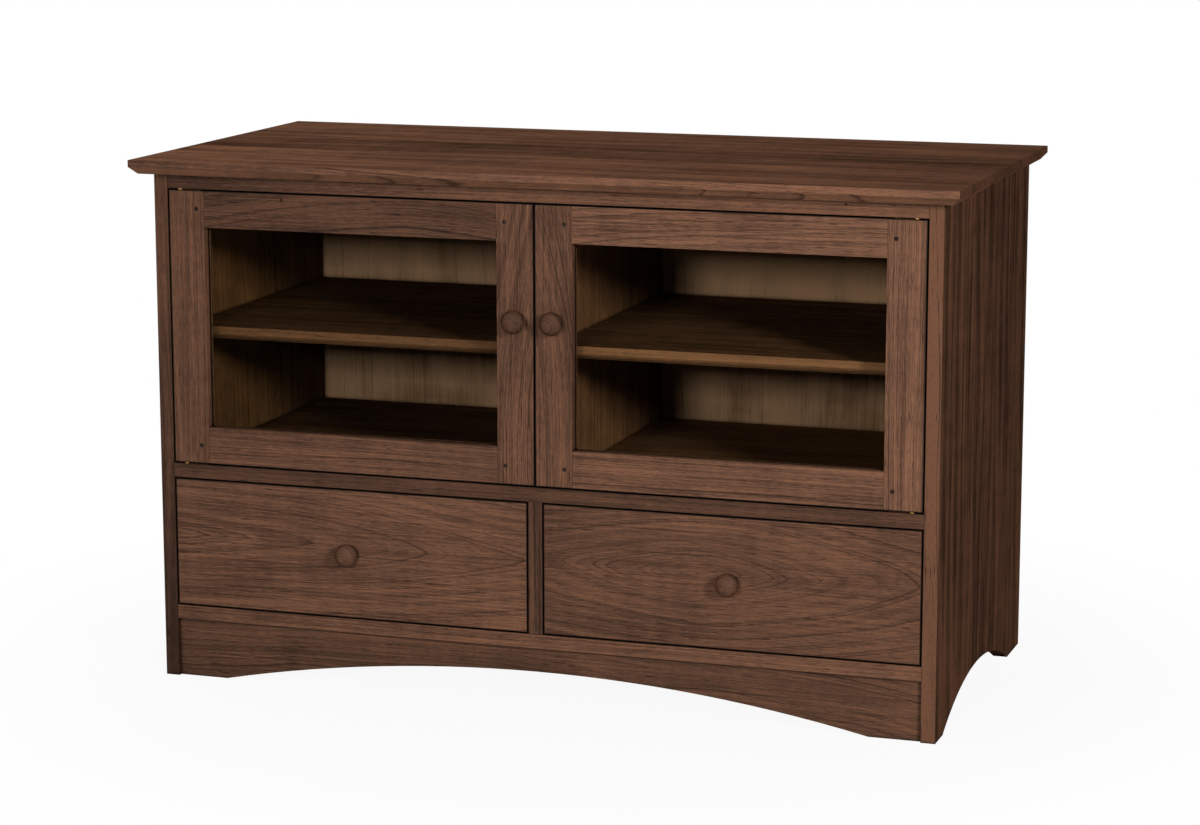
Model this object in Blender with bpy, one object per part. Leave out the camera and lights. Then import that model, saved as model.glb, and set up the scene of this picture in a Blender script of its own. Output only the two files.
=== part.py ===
"""Media console: two glass doors over two dovetailed drawers, all set flush in a solid walnut case."""
import math

import bmesh
import bpy
from mathutils import Matrix, Vector

# Lengths are in metres: X runs across the front, Y from front to back, Z up from the floor.

# Clearances
FIT = 0.0003
REVEAL = 0.002
CUT_OVERRUN = 0.004
SHELF_SIDE_CLEARANCE = 0.0008
SHELF_BACK_CLEARANCE = 0.0008
GLASS_EDGE_CLEARANCE = 0.001
CATCH_CLEARANCE = 0.0005
WELD_DISTANCE = 0.000003

# Case
CASE_WIDTH = 1.166
CASE_DEPTH = 0.574
SIDE_THICKNESS = 0.021
BASE_HEIGHT = 0.087
SIDE_FOOT_FRONT = 0.047
SIDE_FOOT_BACK = 0.085
SIDE_ARCH_RISE = 0.050
SIDE_ARCH_STEPS = 20

# Top board
TOP_THICKNESS = 0.0205
TOP_EDGE_BAND = 0.010
TOP_CHAMFER_INSET = 0.0105
TOP_OVERHANG_FRONT = 0.030
TOP_OVERHANG_SIDE = 0.0266
TOP_OVERHANG_BACK = 0.003

# Face rails and the joints that hold them in the sides
RAIL_HEIGHT = 0.021
RAIL_DEPTH = 0.060
RAIL_TENON_LENGTH = 0.012
RAIL_TENON_SHOULDER = 0.005
HOUSING_DEPTH = 0.006
PARTITION_HOUSING = 0.004
PARTITION_HOUSING_STOP = 0.010
TONGUE_LENGTH = 0.008
TONGUE_THICKNESS = 0.008
TONGUE_END_INSET = 0.010

# Apron under the bottom rail
APRON_THICKNESS = 0.019
APRON_SETBACK = 0.006
APRON_FOOT = 0.075
APRON_ARCH_RISE = 0.0515
APRON_ARCH_STEPS = 28

# Panels inside the case
FLOOR_THICKNESS = 0.018
BOTTOM_THICKNESS = 0.018
BACK_THICKNESS = 0.006
BACK_RECESS = 0.010
BACK_GROOVE = 0.010
PARTITION_THICKNESS = 0.021
PARTITION_DOOR_SPACE = 0.021
DRAWER_PARTITION_THICKNESS = 0.021

# Shelves, their pins and the rows of pin holes
SHELF_THICKNESS = 0.0185
SHELF_EDGE_BAND = 0.0105
SHELF_RISE = 0.198
SHELF_DOOR_SPACE = 0.024
PIN_RADIUS = 0.0025
PIN_HEAD_RADIUS = 0.003
PIN_HEAD_LENGTH = 0.008
PIN_SHANK_LENGTH = 0.007
PIN_HOLE_SPACE = 0.001
PIN_HOLE_PITCH = 0.032
PIN_HOLE_STEPS_UP_AND_DOWN = 2
PIN_ROW_INSET = 0.050
PIN_SEGMENTS = 12

# Doors
DOOR_HEIGHT = 0.401
DOOR_THICKNESS = 0.021
STILE_WIDTH = 0.055
DOOR_RAIL_WIDTH = 0.0535
GLASS_SETBACK = 0.0125
GLASS_RABBET = 0.008
GLASS_THICKNESS = 0.003
DOOR_TENON_LENGTH = 0.032
DOOR_TENON_THICKNESS = 0.007
DOOR_TENON_OUTER_SHOULDER = 0.012
DOOR_TENON_INNER_SHOULDER = 0.004
DOOR_KNOB_HEIGHT = 0.235

# Knife hinges
HINGE_INSET = 0.016
HINGE_SETBACK = 0.0065
HINGE_LEAF_WIDTH = 0.009
HINGE_END_SPACE = 0.0065
HINGE_LEAF_THICKNESS = 0.0025
HINGE_PIN_RADIUS = 0.0025
HINGE_SHOULDER_RADIUS = 0.004
HINGE_END_STEPS = 8
HINGE_SEGMENTS = 16

# Magnetic catch behind the meeting stiles
CATCH_WIDTH = 0.046
CATCH_DEPTH = 0.014
CATCH_HEIGHT = 0.012
CATCH_LIP_DEPTH = 0.004
CATCH_LIP_HEIGHT = 0.004

# Drawers
DRAWER_FRONT_HEIGHT = 0.189
DRAWER_FRONT_THICKNESS = 0.021
DRAWER_BACK_SPACE = 0.025
DRAWER_SIDE_THICKNESS = 0.012
DRAWER_SIDE_DROP = 0.001
DRAWER_BACK_THICKNESS = 0.012
DRAWER_BACK_DROP = 0.006
DRAWER_BOTTOM_THICKNESS = 0.006
DRAWER_BOTTOM_RISE = 0.010
DRAWER_GROOVE = 0.006
DOVETAIL_LAP = 0.006
DOVETAIL_COUNT = 5
DOVETAIL_ROOT_SHARE = 0.62
DOVETAIL_SLOPE = 1 / 7
STOP_WIDTH = 0.040
STOP_HEIGHT = 0.020

# Turned knobs
KNOB_HEAD_RADIUS = 0.0168
KNOB_PROJECTION = 0.027
KNOB_RIM_HEIGHT = 0.0175
KNOB_NECK_HEIGHT = 0.0085
KNOB_NECK_RADIUS = 0.0085
KNOB_BASE_RADIUS = 0.0125
KNOB_BASE_HEIGHT = 0.0015
KNOB_TENON_RADIUS = 0.0045
KNOB_TENON_LENGTH = 0.014
KNOB_COVE_STEPS = 4
KNOB_DOME_STEPS = 6
KNOB_SEGMENTS = 24
SMOOTH_ANGLE = math.radians(40)

# Places worked out from the sizes above
SIDES = (-1, 1)
SIDE_NAMES = {-1: "left", 1: "right"}
HALF_CASE = CASE_WIDTH / 2
INSIDE = HALF_CASE - SIDE_THICKNESS
TOP_DEPTH = TOP_OVERHANG_FRONT + CASE_DEPTH + TOP_OVERHANG_BACK
FRONT = TOP_OVERHANG_FRONT - TOP_DEPTH / 2
BACK = FRONT + CASE_DEPTH
DOOR_BACK = FRONT + DOOR_THICKNESS
RAIL_BACK = FRONT + RAIL_DEPTH
PANEL_FRONT = BACK - BACK_RECESS - BACK_THICKNESS
INNER_BACK = PANEL_FRONT - FIT

BOTTOM_RAIL_TOP = BASE_HEIGHT + RAIL_HEIGHT
DRAWER_LOW = BOTTOM_RAIL_TOP + REVEAL
DRAWER_HIGH = DRAWER_LOW + DRAWER_FRONT_HEIGHT
MIDDLE_RAIL_LOW = DRAWER_HIGH + REVEAL
MIDDLE_RAIL_TOP = MIDDLE_RAIL_LOW + RAIL_HEIGHT
DOOR_LOW = MIDDLE_RAIL_TOP + REVEAL
DOOR_HIGH = DOOR_LOW + DOOR_HEIGHT
TOP_RAIL_LOW = DOOR_HIGH + REVEAL
CASE_HIGH = TOP_RAIL_LOW + RAIL_HEIGHT
FLOOR_LOW = MIDDLE_RAIL_TOP - FLOOR_THICKNESS
BOTTOM_LOW = BOTTOM_RAIL_TOP - BOTTOM_THICKNESS

PARTITION_HALF = PARTITION_THICKNESS / 2
PARTITION_FRONT = DOOR_BACK + PARTITION_DOOR_SPACE
DRAWER_PARTITION_HALF = DRAWER_PARTITION_THICKNESS / 2
SHELF_TOP = MIDDLE_RAIL_TOP + SHELF_RISE
SHELF_LOW = SHELF_TOP - SHELF_THICKNESS
SHELF_FRONT = DOOR_BACK + SHELF_DOOR_SPACE
SHELF_REAR = PANEL_FRONT - SHELF_BACK_CLEARANCE
PIN_HEIGHT = SHELF_LOW - FIT - PIN_HEAD_RADIUS
PIN_HOLE_DEPTH = PIN_SHANK_LENGTH + PIN_HOLE_SPACE
PIN_ROWS = {"front": SHELF_FRONT + PIN_ROW_INSET, "back": SHELF_REAR - PIN_ROW_INSET}

DOOR_OUTER = INSIDE - REVEAL
DOOR_MEETING = REVEAL / 2
OPENING_OUTER = DOOR_OUTER - STILE_WIDTH
OPENING_MEETING = DOOR_MEETING + STILE_WIDTH
OPENING_LOW = DOOR_LOW + DOOR_RAIL_WIDTH
OPENING_HIGH = DOOR_HIGH - DOOR_RAIL_WIDTH
GLASS_FRONT = FRONT + GLASS_SETBACK + FIT
GLASS_BACK = GLASS_FRONT + GLASS_THICKNESS
HINGE_X = DOOR_OUTER - HINGE_INSET
HINGE_Y = FRONT + HINGE_SETBACK
HINGE_INNER_X = OPENING_OUTER + HINGE_END_SPACE + HINGE_LEAF_WIDTH / 2
DOOR_KNOB_X = DOOR_MEETING + STILE_WIDTH / 2
DOOR_KNOB_Z = DOOR_LOW + DOOR_KNOB_HEIGHT

DRAWER_INNER = DRAWER_PARTITION_HALF + REVEAL
DRAWER_OUTER = INSIDE - REVEAL
DRAWER_MIDDLE = (DRAWER_INNER + DRAWER_OUTER) / 2
DRAWER_RUN = BOTTOM_RAIL_TOP + FIT
DRAWER_SIDE_TOP = DRAWER_HIGH - DRAWER_SIDE_DROP
DRAWER_FRONT_BACK = FRONT + DRAWER_FRONT_THICKNESS
DRAWER_REAR = PANEL_FRONT - DRAWER_BACK_SPACE
DRAWER_SHEET_LOW = DRAWER_RUN + DRAWER_BOTTOM_RISE
DRAWER_SHEET_TOP = DRAWER_SHEET_LOW + DRAWER_BOTTOM_THICKNESS
DRAWER_BACK_LOW = DRAWER_SHEET_TOP + FIT
DRAWER_BACK_TOP = DRAWER_SIDE_TOP - DRAWER_BACK_DROP
DRAWER_KNOB_Z = (DRAWER_LOW + DRAWER_HIGH) / 2


# Materials

def linear(hex_colour):
    """Turn a written sRGB colour into the linear values that a shader takes."""
    channels = [int(hex_colour[place:place + 2], 16) / 255 for place in (1, 3, 5)]
    return [value / 12.92 if value <= 0.04045 else ((value + 0.055) / 1.055) ** 2.4 for value in channels]


def finish(name, colour, roughness, metallic=0.0, transmission=0.0):
    """Make the Principled material of one kind of piece."""
    material = bpy.data.materials.new(name)
    material.use_nodes = True
    shader = material.node_tree.nodes["Principled BSDF"]
    shader.inputs["Base Color"].default_value = (*linear(colour), 1.0)
    shader.inputs["Roughness"].default_value = roughness
    shader.inputs["Metallic"].default_value = metallic
    shader.inputs["Transmission Weight"].default_value = transmission
    material.diffuse_color = (*linear(colour), 1.0 - transmission / 2)
    material.roughness = roughness
    material.metallic = metallic
    return material


def make_materials():
    """Give every kind of piece its colour and gloss."""
    return {
        "top": finish("oiled_walnut_top", "#573d2e", 0.42),
        "side": finish("oiled_walnut_side", "#483326", 0.50),
        "face": finish("oiled_walnut_face", "#624738", 0.50),
        "door": finish("oiled_walnut_door", "#664a3a", 0.50),
        "drawer": finish("oiled_walnut_drawer_front", "#5f4334", 0.50),
        "apron": finish("oiled_walnut_apron", "#513a2d", 0.55),
        "inside": finish("oiled_walnut_inside", "#4a3325", 0.50),
        "knob": finish("turned_walnut", "#54392c", 0.40),
        "plywood": finish("stained_plywood_back", "#57452f", 0.60),
        "box": finish("clear_maple_drawer_box", "#c9a877", 0.45),
        "sheet": finish("birch_plywood_drawer_bottom", "#c4a478", 0.50),
        "glass": finish("clear_float_glass", "#f2f6f4", 0.02, transmission=0.95),
        "brass": finish("brushed_brass", "#b08d4a", 0.35, metallic=1.0),
        "catch": finish("brown_moulded_catch", "#3a2a20", 0.50),
    }


# Shapes

def link(name, shape, material):
    """Turn a finished bmesh into a named object."""
    bmesh.ops.recalc_face_normals(shape, faces=shape.faces)
    mesh = bpy.data.meshes.new(name)
    shape.to_mesh(mesh)
    shape.free()
    if material:
        mesh.materials.append(material)
    piece = bpy.data.objects.new(name, mesh)
    bpy.context.scene.collection.objects.link(piece)
    return piece


def block(name, x_ends, y_ends, z_ends, material=None):
    """Make a box between two ends along each axis, given in any order."""
    shape = bmesh.new()
    bmesh.ops.create_cube(shape, size=1)
    lengths = [abs(end - start) for start, end in (x_ends, y_ends, z_ends)]
    centre = [(start + end) / 2 for start, end in (x_ends, y_ends, z_ends)]
    bmesh.ops.scale(shape, vec=lengths, verts=shape.verts)
    bmesh.ops.translate(shape, vec=centre, verts=shape.verts)
    return link(name, shape, material)


def prism(name, outline, axis, start, end, material=None):
    """Extrude an outline along an axis; its points hold the other two coordinates in order."""
    shape = bmesh.new()
    corners = []
    for first, second in outline:
        place = [first, second]
        place.insert(axis, start)
        corners.append(shape.verts.new(place))
    face = shape.faces.new(corners)
    travel = [0, 0, 0]
    travel[axis] = end - start
    extruded = bmesh.ops.extrude_face_region(shape, geom=[face])["geom"]
    moved = [item for item in extruded if isinstance(item, bmesh.types.BMVert)]
    bmesh.ops.translate(shape, vec=travel, verts=moved)
    return link(name, shape, material)


def turned(name, profile, place, direction, segments, material=None):
    """Turn a profile of radius and height round an axis through a place."""
    shape = bmesh.new()
    points = [shape.verts.new((radius, 0, height)) for radius, height in profile]
    for first, second in zip(points, points[1:]):
        shape.edges.new((first, second))
    bmesh.ops.spin(
        shape, geom=shape.verts[:] + shape.edges[:], cent=(0, 0, 0), axis=(0, 0, 1),
        angle=math.tau, steps=segments, use_merge=True)
    bmesh.ops.remove_doubles(shape, verts=shape.verts, dist=WELD_DISTANCE)
    turn = Vector((0, 0, 1)).rotation_difference(Vector(direction)).to_matrix().to_4x4()
    bmesh.ops.transform(shape, matrix=Matrix.Translation(place) @ turn, verts=shape.verts)
    piece = link(name, shape, material)
    piece.data.shade_smooth()
    piece.data.set_sharp_from_angle(angle=SMOOTH_ANGLE)
    return piece


def gather(name, pieces):
    """Join separate pieces into one object, so that one Boolean uses them all."""
    shape = bmesh.new()
    for piece in pieces:
        shape.from_mesh(piece.data)
        bpy.data.objects.remove(piece)
    return link(name, shape, None)


def combine(piece, tools, operation):
    """Cut or fuse tools into a piece with exact Booleans, and drop the tools."""
    for tool in tools:
        modifier = piece.modifiers.new(tool.name, "BOOLEAN")
        modifier.operation = operation
        modifier.solver = "EXACT"
        modifier.object = tool
        graph = bpy.context.evaluated_depsgraph_get()
        mesh = bpy.data.meshes.new_from_object(piece.evaluated_get(graph))
        piece.modifiers.clear()
        old = piece.data
        piece.data = mesh
        mesh.name = piece.name
        bpy.data.meshes.remove(old)
        bpy.data.objects.remove(tool)


def cut(piece, *tools):
    """Take tools out of a piece."""
    combine(piece, tools, "DIFFERENCE")


def fuse(piece, *tools):
    """Add tools to a piece."""
    combine(piece, tools, "UNION")


def arch(start, end, rise, steps):
    """Points of a circular arch that springs from the floor at both ends."""
    half_span = (end - start) / 2
    radius = (half_span ** 2 + rise ** 2) / (2 * rise)
    half_angle = math.asin(half_span / radius)
    middle = (start + end) / 2
    points = []
    for step in range(steps + 1):
        angle = half_angle * (2 * step / steps - 1)
        height = rise - radius * (1 - math.cos(angle))
        points.append((middle + radius * math.sin(angle), max(height, 0)))
    return points


# Case

def make_top(material):
    """Top board with a square band and a chamfer under its front and both ends."""
    half_width = HALF_CASE + TOP_OVERHANG_SIDE
    low = CASE_HIGH + FIT
    levels = (
        (TOP_CHAMFER_INSET, low),
        (0, low + TOP_THICKNESS - TOP_EDGE_BAND),
        (0, low + TOP_THICKNESS),
    )
    shape = bmesh.new()
    rings = []
    for inset, height in levels:
        west, east = inset - half_width, half_width - inset
        south, north = FRONT - TOP_OVERHANG_FRONT + inset, BACK + TOP_OVERHANG_BACK
        corners = ((west, south), (east, south), (east, north), (west, north))
        rings.append([shape.verts.new((across, along, height)) for across, along in corners])
    for lower, upper in zip(rings, rings[1:]):
        for corner in range(len(lower)):
            follower = (corner + 1) % len(lower)
            shape.faces.new((lower[corner], lower[follower], upper[follower], upper[corner]))
    shape.faces.new(rings[0])
    shape.faces.new(rings[-1])
    return link("top", shape, material)


def tenon_space(side, y_ends, rail_low, clearance):
    """Ends of the stub tenon on one end of a rail, grown by a clearance for its mortise."""
    return (
        (side * (INSIDE - CUT_OVERRUN), side * (INSIDE + RAIL_TENON_LENGTH + clearance)),
        (y_ends[0] + RAIL_TENON_SHOULDER - clearance, y_ends[1] - RAIL_TENON_SHOULDER + clearance),
        (rail_low + RAIL_TENON_SHOULDER - clearance,
         rail_low + RAIL_HEIGHT - RAIL_TENON_SHOULDER + clearance),
    )


FACE_RAIL_ENDS = (FRONT, RAIL_BACK)
BACK_RAIL_ENDS = (INNER_BACK - RAIL_DEPTH, INNER_BACK)
RAILS = {
    "top_rail": (FACE_RAIL_ENDS, TOP_RAIL_LOW),
    "middle_rail": (FACE_RAIL_ENDS, MIDDLE_RAIL_LOW),
    "bottom_rail": (FACE_RAIL_ENDS, BASE_HEIGHT),
    "top_back_rail": (BACK_RAIL_ENDS, TOP_RAIL_LOW),
}


def tongue_space(panel_low, panel_thickness, clearance):
    """Ends of the tongue on the front of a panel, grown by a clearance for its groove."""
    middle = panel_low + panel_thickness / 2
    half_length = INSIDE - TONGUE_END_INSET + clearance
    half_thickness = TONGUE_THICKNESS / 2 + clearance
    return (
        (-half_length, half_length),
        (RAIL_BACK - TONGUE_LENGTH - clearance, RAIL_BACK + CUT_OVERRUN),
        (middle - half_thickness, middle + half_thickness),
    )


def shelf_pin_holes(face, direction):
    """Cutter for two columns of pin holes in a panel face, drilled along a direction."""
    profile = [(0, -CUT_OVERRUN), (PIN_RADIUS + FIT, -CUT_OVERRUN), (PIN_RADIUS + FIT, PIN_HOLE_DEPTH),
               (0, PIN_HOLE_DEPTH)]
    tools = []
    for row in PIN_ROWS.values():
        for step in range(-PIN_HOLE_STEPS_UP_AND_DOWN, PIN_HOLE_STEPS_UP_AND_DOWN + 1):
            place = (face, row, PIN_HEIGHT + step * PIN_HOLE_PITCH)
            tools.append(turned("pin_hole", profile, place, (direction, 0, 0), PIN_SEGMENTS))
    return gather("pin_holes", tools)


def make_side(side, material):
    """Side panel with an arched foot, mortises, housings, a groove for the back and shelf pin holes."""
    outline = [(FRONT, 0)]
    outline += arch(FRONT + SIDE_FOOT_FRONT, BACK - SIDE_FOOT_BACK, SIDE_ARCH_RISE, SIDE_ARCH_STEPS)
    outline += [(BACK, 0), (BACK, CASE_HIGH), (FRONT, CASE_HIGH)]
    panel = prism(f"side_{SIDE_NAMES[side]}", outline, 0, side * HALF_CASE, side * INSIDE, material)
    for y_ends, low in RAILS.values():
        cut(panel, block("mortise", *tenon_space(side, y_ends, low, FIT)))
    housing = (side * (INSIDE - CUT_OVERRUN), side * (INSIDE + HOUSING_DEPTH))
    cut(
        panel,
        block("floor_housing", housing, (RAIL_BACK, PANEL_FRONT), (FLOOR_LOW - FIT, MIDDLE_RAIL_TOP + FIT)),
        block("bottom_housing", housing, (RAIL_BACK, PANEL_FRONT), (BOTTOM_LOW - FIT, BOTTOM_RAIL_TOP + FIT)),
        block("apron_housing", housing,
              (FRONT + APRON_SETBACK - FIT, FRONT + APRON_SETBACK + APRON_THICKNESS + FIT),
              (-CUT_OVERRUN, BASE_HEIGHT)),
        block("back_groove", (side * (INSIDE - CUT_OVERRUN), side * (INSIDE + BACK_GROOVE)),
              (PANEL_FRONT - FIT, PANEL_FRONT + BACK_THICKNESS + FIT), (BASE_HEIGHT - FIT, CASE_HIGH + CUT_OVERRUN)),
        shelf_pin_holes(side * INSIDE, side),
    )
    return panel


def make_rail(name, material):
    """Rail tenoned into both side panels."""
    y_ends, low = RAILS[name]
    rail = block(name, (FIT - INSIDE, INSIDE - FIT), y_ends, (low, low + RAIL_HEIGHT), material)
    for side in SIDES:
        fuse(rail, block("tenon", *tenon_space(side, y_ends, low, 0)))
    return rail


def make_top_rail(material):
    """Rail over the doors, let in for the upper hinge leaves."""
    rail = make_rail("top_rail", material)
    for side in SIDES:
        cut(rail, leaf(side, TOP_RAIL_LOW - CUT_OVERRUN, TOP_RAIL_LOW + HINGE_LEAF_THICKNESS + FIT, FIT))
    return rail


def make_middle_rail(material):
    """Rail between doors and drawers: grooved for the floor, let in for hinges and the partition."""
    rail = make_rail("middle_rail", material)
    for side in SIDES:
        cut(rail, leaf(side, MIDDLE_RAIL_TOP - HINGE_LEAF_THICKNESS - FIT, MIDDLE_RAIL_TOP + CUT_OVERRUN, FIT))
    cut(
        rail,
        block("floor_groove", *tongue_space(FLOOR_LOW, FLOOR_THICKNESS, FIT)),
        partition_housing(DRAWER_PARTITION_HALF, FRONT + PARTITION_HOUSING_STOP - FIT,
                          (MIDDLE_RAIL_LOW - CUT_OVERRUN, MIDDLE_RAIL_LOW + PARTITION_HOUSING)),
    )
    return rail


def make_bottom_rail(material):
    """Rail under the drawers, grooved for the case bottom and housed for the partition."""
    rail = make_rail("bottom_rail", material)
    cut(
        rail,
        block("bottom_groove", *tongue_space(BOTTOM_LOW, BOTTOM_THICKNESS, FIT)),
        partition_housing(DRAWER_PARTITION_HALF, FRONT + PARTITION_HOUSING_STOP - FIT,
                          (BOTTOM_RAIL_TOP - PARTITION_HOUSING, BOTTOM_RAIL_TOP + CUT_OVERRUN)),
    )
    return rail


def partition_housing(half_thickness, start, z_ends):
    """Cutter for the groove that holds the edge of a partition, from a start line to the back."""
    half_width = half_thickness + FIT
    return block("partition_housing", (-half_width, half_width), (start, BACK), z_ends)


def make_panel(name, low, thickness, material):
    """Fixed panel housed in both sides, with a tongue in the rail in front of it."""
    half_width = INSIDE + HOUSING_DEPTH - FIT
    panel = block(name, (-half_width, half_width), (RAIL_BACK + FIT, INNER_BACK), (low, low + thickness), material)
    fuse(panel, block("tongue", *tongue_space(low, thickness, 0)))
    return panel


def make_cabinet_floor(material):
    """Floor of the glazed bays, housed above and below for the two partitions."""
    panel = make_panel("cabinet_floor", FLOOR_LOW, FLOOR_THICKNESS, material)
    cut(
        panel,
        partition_housing(PARTITION_HALF, RAIL_BACK,
                          (MIDDLE_RAIL_TOP - PARTITION_HOUSING, MIDDLE_RAIL_TOP + CUT_OVERRUN)),
        partition_housing(DRAWER_PARTITION_HALF, RAIL_BACK,
                          (FLOOR_LOW - CUT_OVERRUN, FLOOR_LOW + PARTITION_HOUSING)),
    )
    return panel


def make_case_bottom(material):
    """Bottom board that the drawers slide on."""
    panel = make_panel("case_bottom", BOTTOM_LOW, BOTTOM_THICKNESS, material)
    cut(panel, partition_housing(DRAWER_PARTITION_HALF, RAIL_BACK,
                                 (BOTTOM_RAIL_TOP - PARTITION_HOUSING, BOTTOM_RAIL_TOP + CUT_OVERRUN)))
    return panel


def make_centre_partition(material):
    """Upright between the glazed bays, notched round the two top rails."""
    seam = RAIL_BACK + FIT / 2
    rail_front = BACK_RAIL_ENDS[0] - FIT
    outline = [
        (PARTITION_FRONT, MIDDLE_RAIL_TOP + FIT), (seam + FIT, MIDDLE_RAIL_TOP + FIT),
        (seam + FIT, MIDDLE_RAIL_TOP - PARTITION_HOUSING + FIT),
        (INNER_BACK, MIDDLE_RAIL_TOP - PARTITION_HOUSING + FIT),
        (INNER_BACK, TOP_RAIL_LOW - FIT), (rail_front, TOP_RAIL_LOW - FIT), (rail_front, CASE_HIGH),
        (RAIL_BACK + FIT, CASE_HIGH), (RAIL_BACK + FIT, TOP_RAIL_LOW - FIT),
        (PARTITION_FRONT, TOP_RAIL_LOW - FIT),
    ]
    panel = prism("centre_partition", outline, 0, -PARTITION_HALF, PARTITION_HALF, material)
    for side in SIDES:
        cut(panel, shelf_pin_holes(side * PARTITION_HALF, -side))
    return panel


def make_drawer_partition(material):
    """Upright between the drawers; its front edge shows between the rails."""
    stop = FRONT + PARTITION_HOUSING_STOP
    seam = RAIL_BACK + FIT / 2
    housed_low = BOTTOM_RAIL_TOP - PARTITION_HOUSING + FIT
    housed_rail = MIDDLE_RAIL_LOW + PARTITION_HOUSING - FIT
    housed_floor = FLOOR_LOW + PARTITION_HOUSING - FIT
    outline = [
        (FRONT, BOTTOM_RAIL_TOP + FIT), (stop, BOTTOM_RAIL_TOP + FIT), (stop, housed_low),
        (INNER_BACK, housed_low), (INNER_BACK, housed_floor), (seam, housed_floor), (seam, housed_rail),
        (stop, housed_rail), (stop, MIDDLE_RAIL_LOW - FIT), (FRONT, MIDDLE_RAIL_LOW - FIT),
    ]
    ends = (-DRAWER_PARTITION_HALF, DRAWER_PARTITION_HALF)
    return prism("drawer_partition", outline, 0, *ends, material)


def make_apron(material):
    """Arched apron under the bottom rail, housed in both sides."""
    half_width = INSIDE + HOUSING_DEPTH - FIT
    spring = INSIDE - APRON_FOOT
    high = BASE_HEIGHT - FIT
    outline = [(-half_width, 0)]
    outline += arch(-spring, spring, APRON_ARCH_RISE, APRON_ARCH_STEPS)
    outline += [(half_width, 0), (half_width, high), (-half_width, high)]
    face = FRONT + APRON_SETBACK
    return prism("apron", outline, 1, face, face + APRON_THICKNESS, material)


def make_back_panel(material):
    """Plywood back, slid down into grooves in the sides."""
    half_width = INSIDE + BACK_GROOVE - FIT
    y_ends = (PANEL_FRONT, PANEL_FRONT + BACK_THICKNESS)
    return block("back_panel", (-half_width, half_width), y_ends, (BASE_HEIGHT, CASE_HIGH), material)


def make_shelf(side, material):
    """Loose shelf with the top board's band and chamfer along its front edge."""
    chamfer = SHELF_THICKNESS - SHELF_EDGE_BAND
    outline = [
        (SHELF_FRONT, SHELF_TOP), (SHELF_FRONT, SHELF_LOW + chamfer), (SHELF_FRONT + chamfer, SHELF_LOW),
        (SHELF_REAR, SHELF_LOW), (SHELF_REAR, SHELF_TOP),
    ]
    inner = side * (PARTITION_HALF + SHELF_SIDE_CLEARANCE)
    outer = side * (INSIDE - SHELF_SIDE_CLEARANCE)
    return prism(f"shelf_{SIDE_NAMES[side]}", outline, 0, inner, outer, material)


def make_shelf_pins(side, material):
    """Four turned pins under one shelf, two in the side and two in the partition."""
    profile = [
        (0, -PIN_SHANK_LENGTH), (PIN_RADIUS, -PIN_SHANK_LENGTH), (PIN_RADIUS, FIT), (PIN_HEAD_RADIUS, FIT),
        (PIN_HEAD_RADIUS, PIN_HEAD_LENGTH), (0, PIN_HEAD_LENGTH),
    ]
    walls = {"outer": (side * INSIDE, -side), "inner": (side * PARTITION_HALF, side)}
    for wall, (face, direction) in walls.items():
        for row, along in PIN_ROWS.items():
            name = f"shelf_pin_{SIDE_NAMES[side]}_{wall}_{row}"
            turned(name, profile, (face, along, PIN_HEIGHT), (direction, 0, 0), PIN_SEGMENTS, material)


def make_catch(material):
    """Magnetic catch under the top rail, with a lip that both meeting stiles close against."""
    front = DOOR_BACK + CATCH_CLEARANCE
    high = TOP_RAIL_LOW - FIT
    low = high - CATCH_HEIGHT
    outline = [
        (front, high), (front, low), (front + CATCH_LIP_DEPTH, low),
        (front + CATCH_LIP_DEPTH, low + CATCH_LIP_HEIGHT), (front + CATCH_DEPTH, low + CATCH_LIP_HEIGHT),
        (front + CATCH_DEPTH, high),
    ]
    return prism("door_catch", outline, 0, -CATCH_WIDTH / 2, CATCH_WIDTH / 2, material)


def make_drawer_stop(side, material):
    """Block between a drawer and the back panel, glued to the case bottom, that stops the drawer flush."""
    middle = side * DRAWER_MIDDLE
    low = BOTTOM_RAIL_TOP + FIT
    return block(f"drawer_stop_{SIDE_NAMES[side]}", (middle - STOP_WIDTH / 2, middle + STOP_WIDTH / 2),
                 (DRAWER_REAR + FIT, PANEL_FRONT - FIT), (low, low + STOP_HEIGHT), material)


# Hinges

def leaf(side, low, high, clearance, name="leaf", material=None):
    """Bar with round ends, one of them centred on the hinge axis."""
    radius = HINGE_LEAF_WIDTH / 2 + clearance
    outline = []
    for end, centre in enumerate((HINGE_X, HINGE_INNER_X)):
        for step in range(HINGE_END_STEPS + 1):
            angle = math.pi / 2 - math.pi * (end + step / HINGE_END_STEPS)
            outline.append((side * (centre + radius * math.cos(angle)), HINGE_Y + radius * math.sin(angle)))
    return prism(name, outline, 2, low, high, material)


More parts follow.
